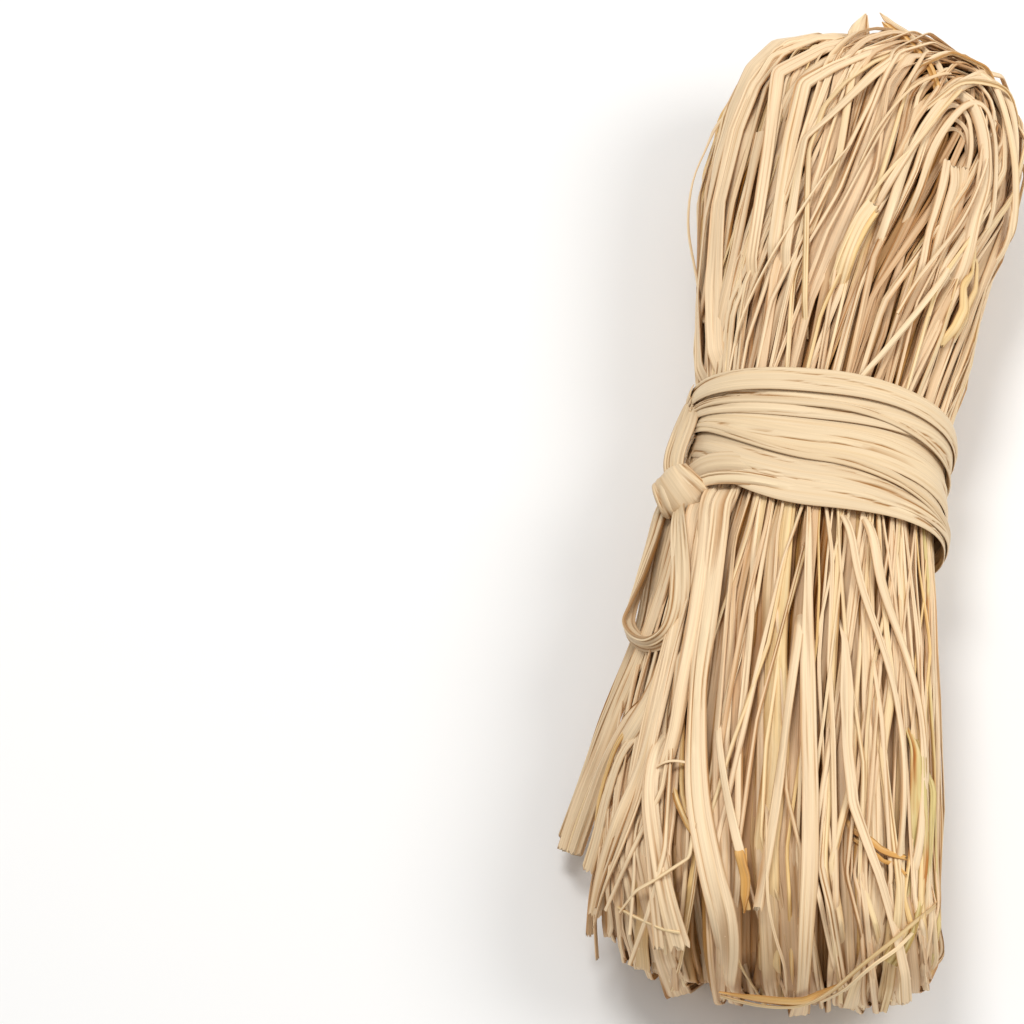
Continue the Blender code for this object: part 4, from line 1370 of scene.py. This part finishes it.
CUT_ENDS = (
    ("cut_end_long", (
        leaf(3.0, 0.46, (-35, -16), (-37.6, -34), (-41.0, -50, 38.5), (-45.6, -64, 31), (-50.0, -77, 21.5),
             (-53.8, -88, 13.4), (-56.2, -97, 8.2), flare=0.2, ragged=(0, 1.2), kind="fold",
             facing=LEFTWARD),
        leaf(5.6, 0.52, (-34.2, -57), (-35.6, -62.5), (-38, -69.5), (-42.2, -77.4), (-46.8, -81.2, 31.5),
             lift=1.6, ragged=(0, 1.6), taper=(9, 0), facing=LEFTWARD),
    )),
    ("cut_end_split", (
        leaf(3.4, 0.42, (-41, -72), (-46.6, -80.6, 32.5), (-48.7, -86, 26), (-50.8, -93, 20),
             (-53.0, -99.5, 12.5), lift=1.4, ragged=(0, 1.2), facing=LEFTWARD),
        leaf(1.4, 0.56, (-40.6, -70), (-46.4, -77, 33), (-50.0, -83, 24), (-53.2, -91, 15),
             (-55.0, -98, 9.5), lift=1.8, ragged=(0, 0.6), facing=LEFTWARD),
    )),
    ("cut_end_flared", (
        leaf(3.8, 0.40, (-31.6, -12), (-31.8, -30), (-32.8, -48), (-34.8, -70), (-37.6, -90), (-41.4, -104),
             (-44.0, -114, 37), (-45.6, -121.5, 26), lift=1.9, flare=0.6, ragged=(0, 1.8), kind="flat",
             columns=11, facing=LEFTWARD),
        leaf(3.2, 0.52, (-42.4, -80), (-46.0, -92, 37), (-47.4, -101, 31.5), (-49.2, -108.5, 25), lift=1.2,
             flare=0.3, ragged=(0, 1.4), facing=LEFTWARD),
        leaf(1.8, 0.80, (-43.4, -76.5), (-46.4, -84.5, 35.2), (-47.8, -91, 31), (-48.2, -97, 27), lift=1.6,
             taper=(7, 5), facing=LEFTWARD),
    )),
    ("cut_end_low", (
        leaf(1.5, 0.44, (-30.6, -14), (-31.8, -36), (-34.4, -56), (-36.3, -71), (-38.2, -93),
             (-41.4, -107.6), (-44.4, -117, 36), (-45.6, -123, 26), lift=1.7, plies=4, spread=(0.55, 1.5),
             ragged=(0, 0.8)),
    )),
    ("cut_end_under", (
        leaf(3.0, 0.32, (-42, -80), (-45.6, -94, 34), (-47.2, -106, 22), (-46.6, -120, 10), lift=0.8,
             ragged=(0, 1.4)),
        leaf(2.6, 0.36, (-43.5, -92, 36), (-46.2, -104, 29), (-46.4, -116, 19), (-44.5, -127, 12),
             ragged=(0, 1.2)),
        leaf(1.0, 0.50, (-38, -104), (-36.8, -119.6), (-36.5, -131.4, 41), lift=1.4),
    )),
    ("cut_end_front_outer", (
        leaf(3.9, 0.40, (-28.6, -10), (-28.2, -28), (-28.4, -48), (-29.8, -68), (-30.6, -82),
             (-32.2, -91.5, 52.3), (-33.0, -95.5, 50.6), lift=2.2, ragged=(0, 0.7), kind="roof",
             facing=UPWARD),
        leaf(3.4, 0.46, (-34.2, -84), (-34.8, -97), (-31.9, -112), (-28.2, -124.5), (-23.8, -134.2, 43.6),
             lift=1.7, flare=0.7, ragged=(0, 1.6), kind="flat", columns=9, facing=UPWARD),
        leaf(2.3, 0.40, (-35.6, -86), (-35.8, -99), (-33.4, -113), (-31.0, -125), (-28.8, -134, 42),
             lift=1.5, flare=0.3, ragged=(0, 1.2), facing=UPWARD),
    )),
)


STRAND_GROUPS = {"top": (TOP_STRANDS, TOP_SEED), "front": (FRONT_STRANDS, FRONT_SEED),
                 "cut_ends": (CUT_ENDS, CUT_ENDS_SEED)}


class RAFFIA_OT_add_strands(bpy.types.Operator):
    """Add one group of the single leaves that lie over the hank or hang down its side"""

    bl_idname = "raffia.add_strands"
    bl_label = "Add Strands"

    group: EnumProperty(
        name="Group", description="Which leaves", default="top",
        items=(("top", "Top", "The kinked, arched and torn leaves over the upper end"),
               ("front", "Front", "The leaves over the lower end, and those that bend under it"),
               ("cut_ends", "Cut ends", "The tuft of cut ends down the lower left side")))

    def execute(self, context):
        lay_pieces(*STRAND_GROUPS[self.group], sun_dried_leaf())
        return {"FINISHED"}


# ---------------------------------------------------------------- the stage


TABLE_REACH = 4
KEY_PLACE, KEY_SIZE = (-0.24, 0.24, 0.93), 0.35
FILL_PLACE, FILL_SIZE = (0.60, 0.05, 0.80), 0.5

# The camera looks down on the hank from a little to the right of its length. Its target is in millimetres
# about the hank's middle.
CAMERA_AZIMUTH = math.radians(6.6)
CAMERA_ELEVATION = math.radians(62)
CAMERA_TARGET = Vector((-79, -11.5, 28))
CAMERA_LENS = 150


def add_lamp(name, place, size, power):
    """A round softbox that faces the hank."""
    data = bpy.data.lights.new(name, "AREA")
    data.shape = "DISK"
    data.size = size
    data.energy = power
    light = new_object(name, data)
    light.location = place
    light.rotation_euler = (Vector((0, 0, 0.02)) - Vector(place)).to_track_quat("-Z", "Y").to_euler()


def add_table(settings):
    """A flat white top, far wider than the hank."""
    bm = bmesh.new()
    bmesh.ops.create_grid(bm, x_segments=1, y_segments=1, size=TABLE_REACH)
    mesh = mesh_from(bm, "table_top")
    table = new_object("table_top", mesh)
    material, _, shader = plain_material("matt_white_laminate")
    shader.inputs["Base Color"].default_value = tuple(settings.table)
    shader.inputs["Roughness"].default_value = 0.9
    mesh.materials.append(material)


def light_room(scene, settings):
    """A room that lights the hank softly, and is plain white where it is seen or mirrored."""
    world = bpy.data.worlds.new("soft_room")
    scene.world = world
    world.use_nodes = True
    tree = world.node_tree
    tree.nodes.clear()
    path = add_node(tree, "ShaderNodeLightPath").outputs
    seen = computed(tree, "MAXIMUM", path["Is Camera Ray"], path["Is Glossy Ray"])
    seen = computed(tree, "MAXIMUM", seen, path["Is Transmission Ray"])
    room = add_node(tree, "ShaderNodeBackground", Color=linear("#ffffff"), Strength=settings.room_light)
    white = add_node(tree, "ShaderNodeBackground", Color=linear("#ffffff"), Strength=1.0)
    mixed = add_node(tree, "ShaderNodeMixShader", _0=seen, _1=room.outputs[0], _2=white.outputs[0])
    add_node(tree, "ShaderNodeOutputWorld", Surface=mixed.outputs[0])


def add_camera(scene, settings):
    """The camera, at its distance from what it looks at."""
    back = Vector((math.sin(CAMERA_AZIMUTH) * math.cos(CAMERA_ELEVATION),
                   -math.cos(CAMERA_AZIMUTH) * math.cos(CAMERA_ELEVATION), math.sin(CAMERA_ELEVATION)))
    data = bpy.data.cameras.new("camera")
    data.lens = CAMERA_LENS
    data.sensor_width = 36
    data.clip_end = 20
    camera = new_object("camera", data)
    camera.location = (CAMERA_TARGET + Vector(OFFSET)) * MM + back * settings.camera_distance
    camera.rotation_euler = (-back).to_track_quat("-Z", "Y").to_euler()
    scene.camera = camera


class RAFFIA_OT_add_stage(bpy.types.Operator):
    """Add the table, the room, two softboxes and the camera"""

    bl_idname = "raffia.add_stage"
    bl_label = "Add Stage"

    def execute(self, context):
        settings = context.scene.raffia_stage
        context.scene.view_settings.view_transform = "Standard"
        add_table(settings)
        light_room(context.scene, settings)
        add_lamp("key_softbox", KEY_PLACE, KEY_SIZE, settings.key_power)
        add_lamp("fill_softbox", FILL_PLACE, FILL_SIZE, settings.fill_power)
        add_camera(context.scene, settings)
        return {"FINISHED"}


# ---------------------------------------------------------------- the panel


class RAFFIA_PT_hank(bpy.types.Panel):
    """The hank's pieces, in the order they are made, and its settings"""

    bl_idname = "RAFFIA_PT_hank"
    bl_label = "Raffia Hank"
    bl_space_type = "VIEW_3D"
    bl_region_type = "UI"
    bl_category = "Raffia"

    def draw(self, context):
        column = self.layout.column(align=True)
        column.operator("raffia.add_heart")
        column.operator("raffia.add_loops", text="Add Upper Loops").end = "upper"
        column.operator("raffia.add_loops", text="Add Lower Loops").end = "lower"
        column.operator("raffia.add_tie")
        column.operator("raffia.add_knot")
        column.operator("raffia.add_strands", text="Add Top Strands").group = "top"
        column.operator("raffia.add_strands", text="Add Front Strands").group = "front"
        column.operator("raffia.add_strands", text="Add Cut Ends").group = "cut_ends"
        column.operator("raffia.add_stage")
        for settings in (context.scene.raffia_hank, context.scene.raffia_tie, context.scene.raffia_colours,
                         context.scene.raffia_stage):
            column = self.layout.column()
            for name in settings.bl_rna.properties.keys():
                if name not in {"rna_type", "name"}:
                    column.prop(settings, name)


CLASSES = (
    RaffiaHankSettings, RaffiaTieSettings, RaffiaColourSettings, RaffiaStageSettings, RAFFIA_OT_add_heart,
    RAFFIA_OT_add_loops, RAFFIA_OT_add_tie, RAFFIA_OT_add_knot, RAFFIA_OT_add_strands, RAFFIA_OT_add_stage,
    RAFFIA_PT_hank)


def register():
    for cls in CLASSES:
        bpy.utils.register_class(cls)
    bpy.types.Scene.raffia_hank = PointerProperty(type=RaffiaHankSettings)
    bpy.types.Scene.raffia_tie = PointerProperty(type=RaffiaTieSettings)
    bpy.types.Scene.raffia_colours = PointerProperty(type=RaffiaColourSettings)
    bpy.types.Scene.raffia_stage = PointerProperty(type=RaffiaStageSettings)


def unregister():
    del bpy.types.Scene.raffia_stage
    del bpy.types.Scene.raffia_colours
    del bpy.types.Scene.raffia_tie
    del bpy.types.Scene.raffia_hank
    for cls in reversed(CLASSES):
        bpy.utils.unregister_class(cls)


def main():
    register()
    bpy.ops.raffia.add_heart()
    bpy.ops.raffia.add_loops(end="upper")
    bpy.ops.raffia.add_loops(end="lower")
    bpy.ops.raffia.add_tie()
    bpy.ops.raffia.add_knot()
    bpy.ops.raffia.add_strands(group="top")
    bpy.ops.raffia.add_strands(group="front")
    bpy.ops.raffia.add_strands(group="cut_ends")
    bpy.ops.raffia.add_stage()


if __name__ == "__main__":
    main()
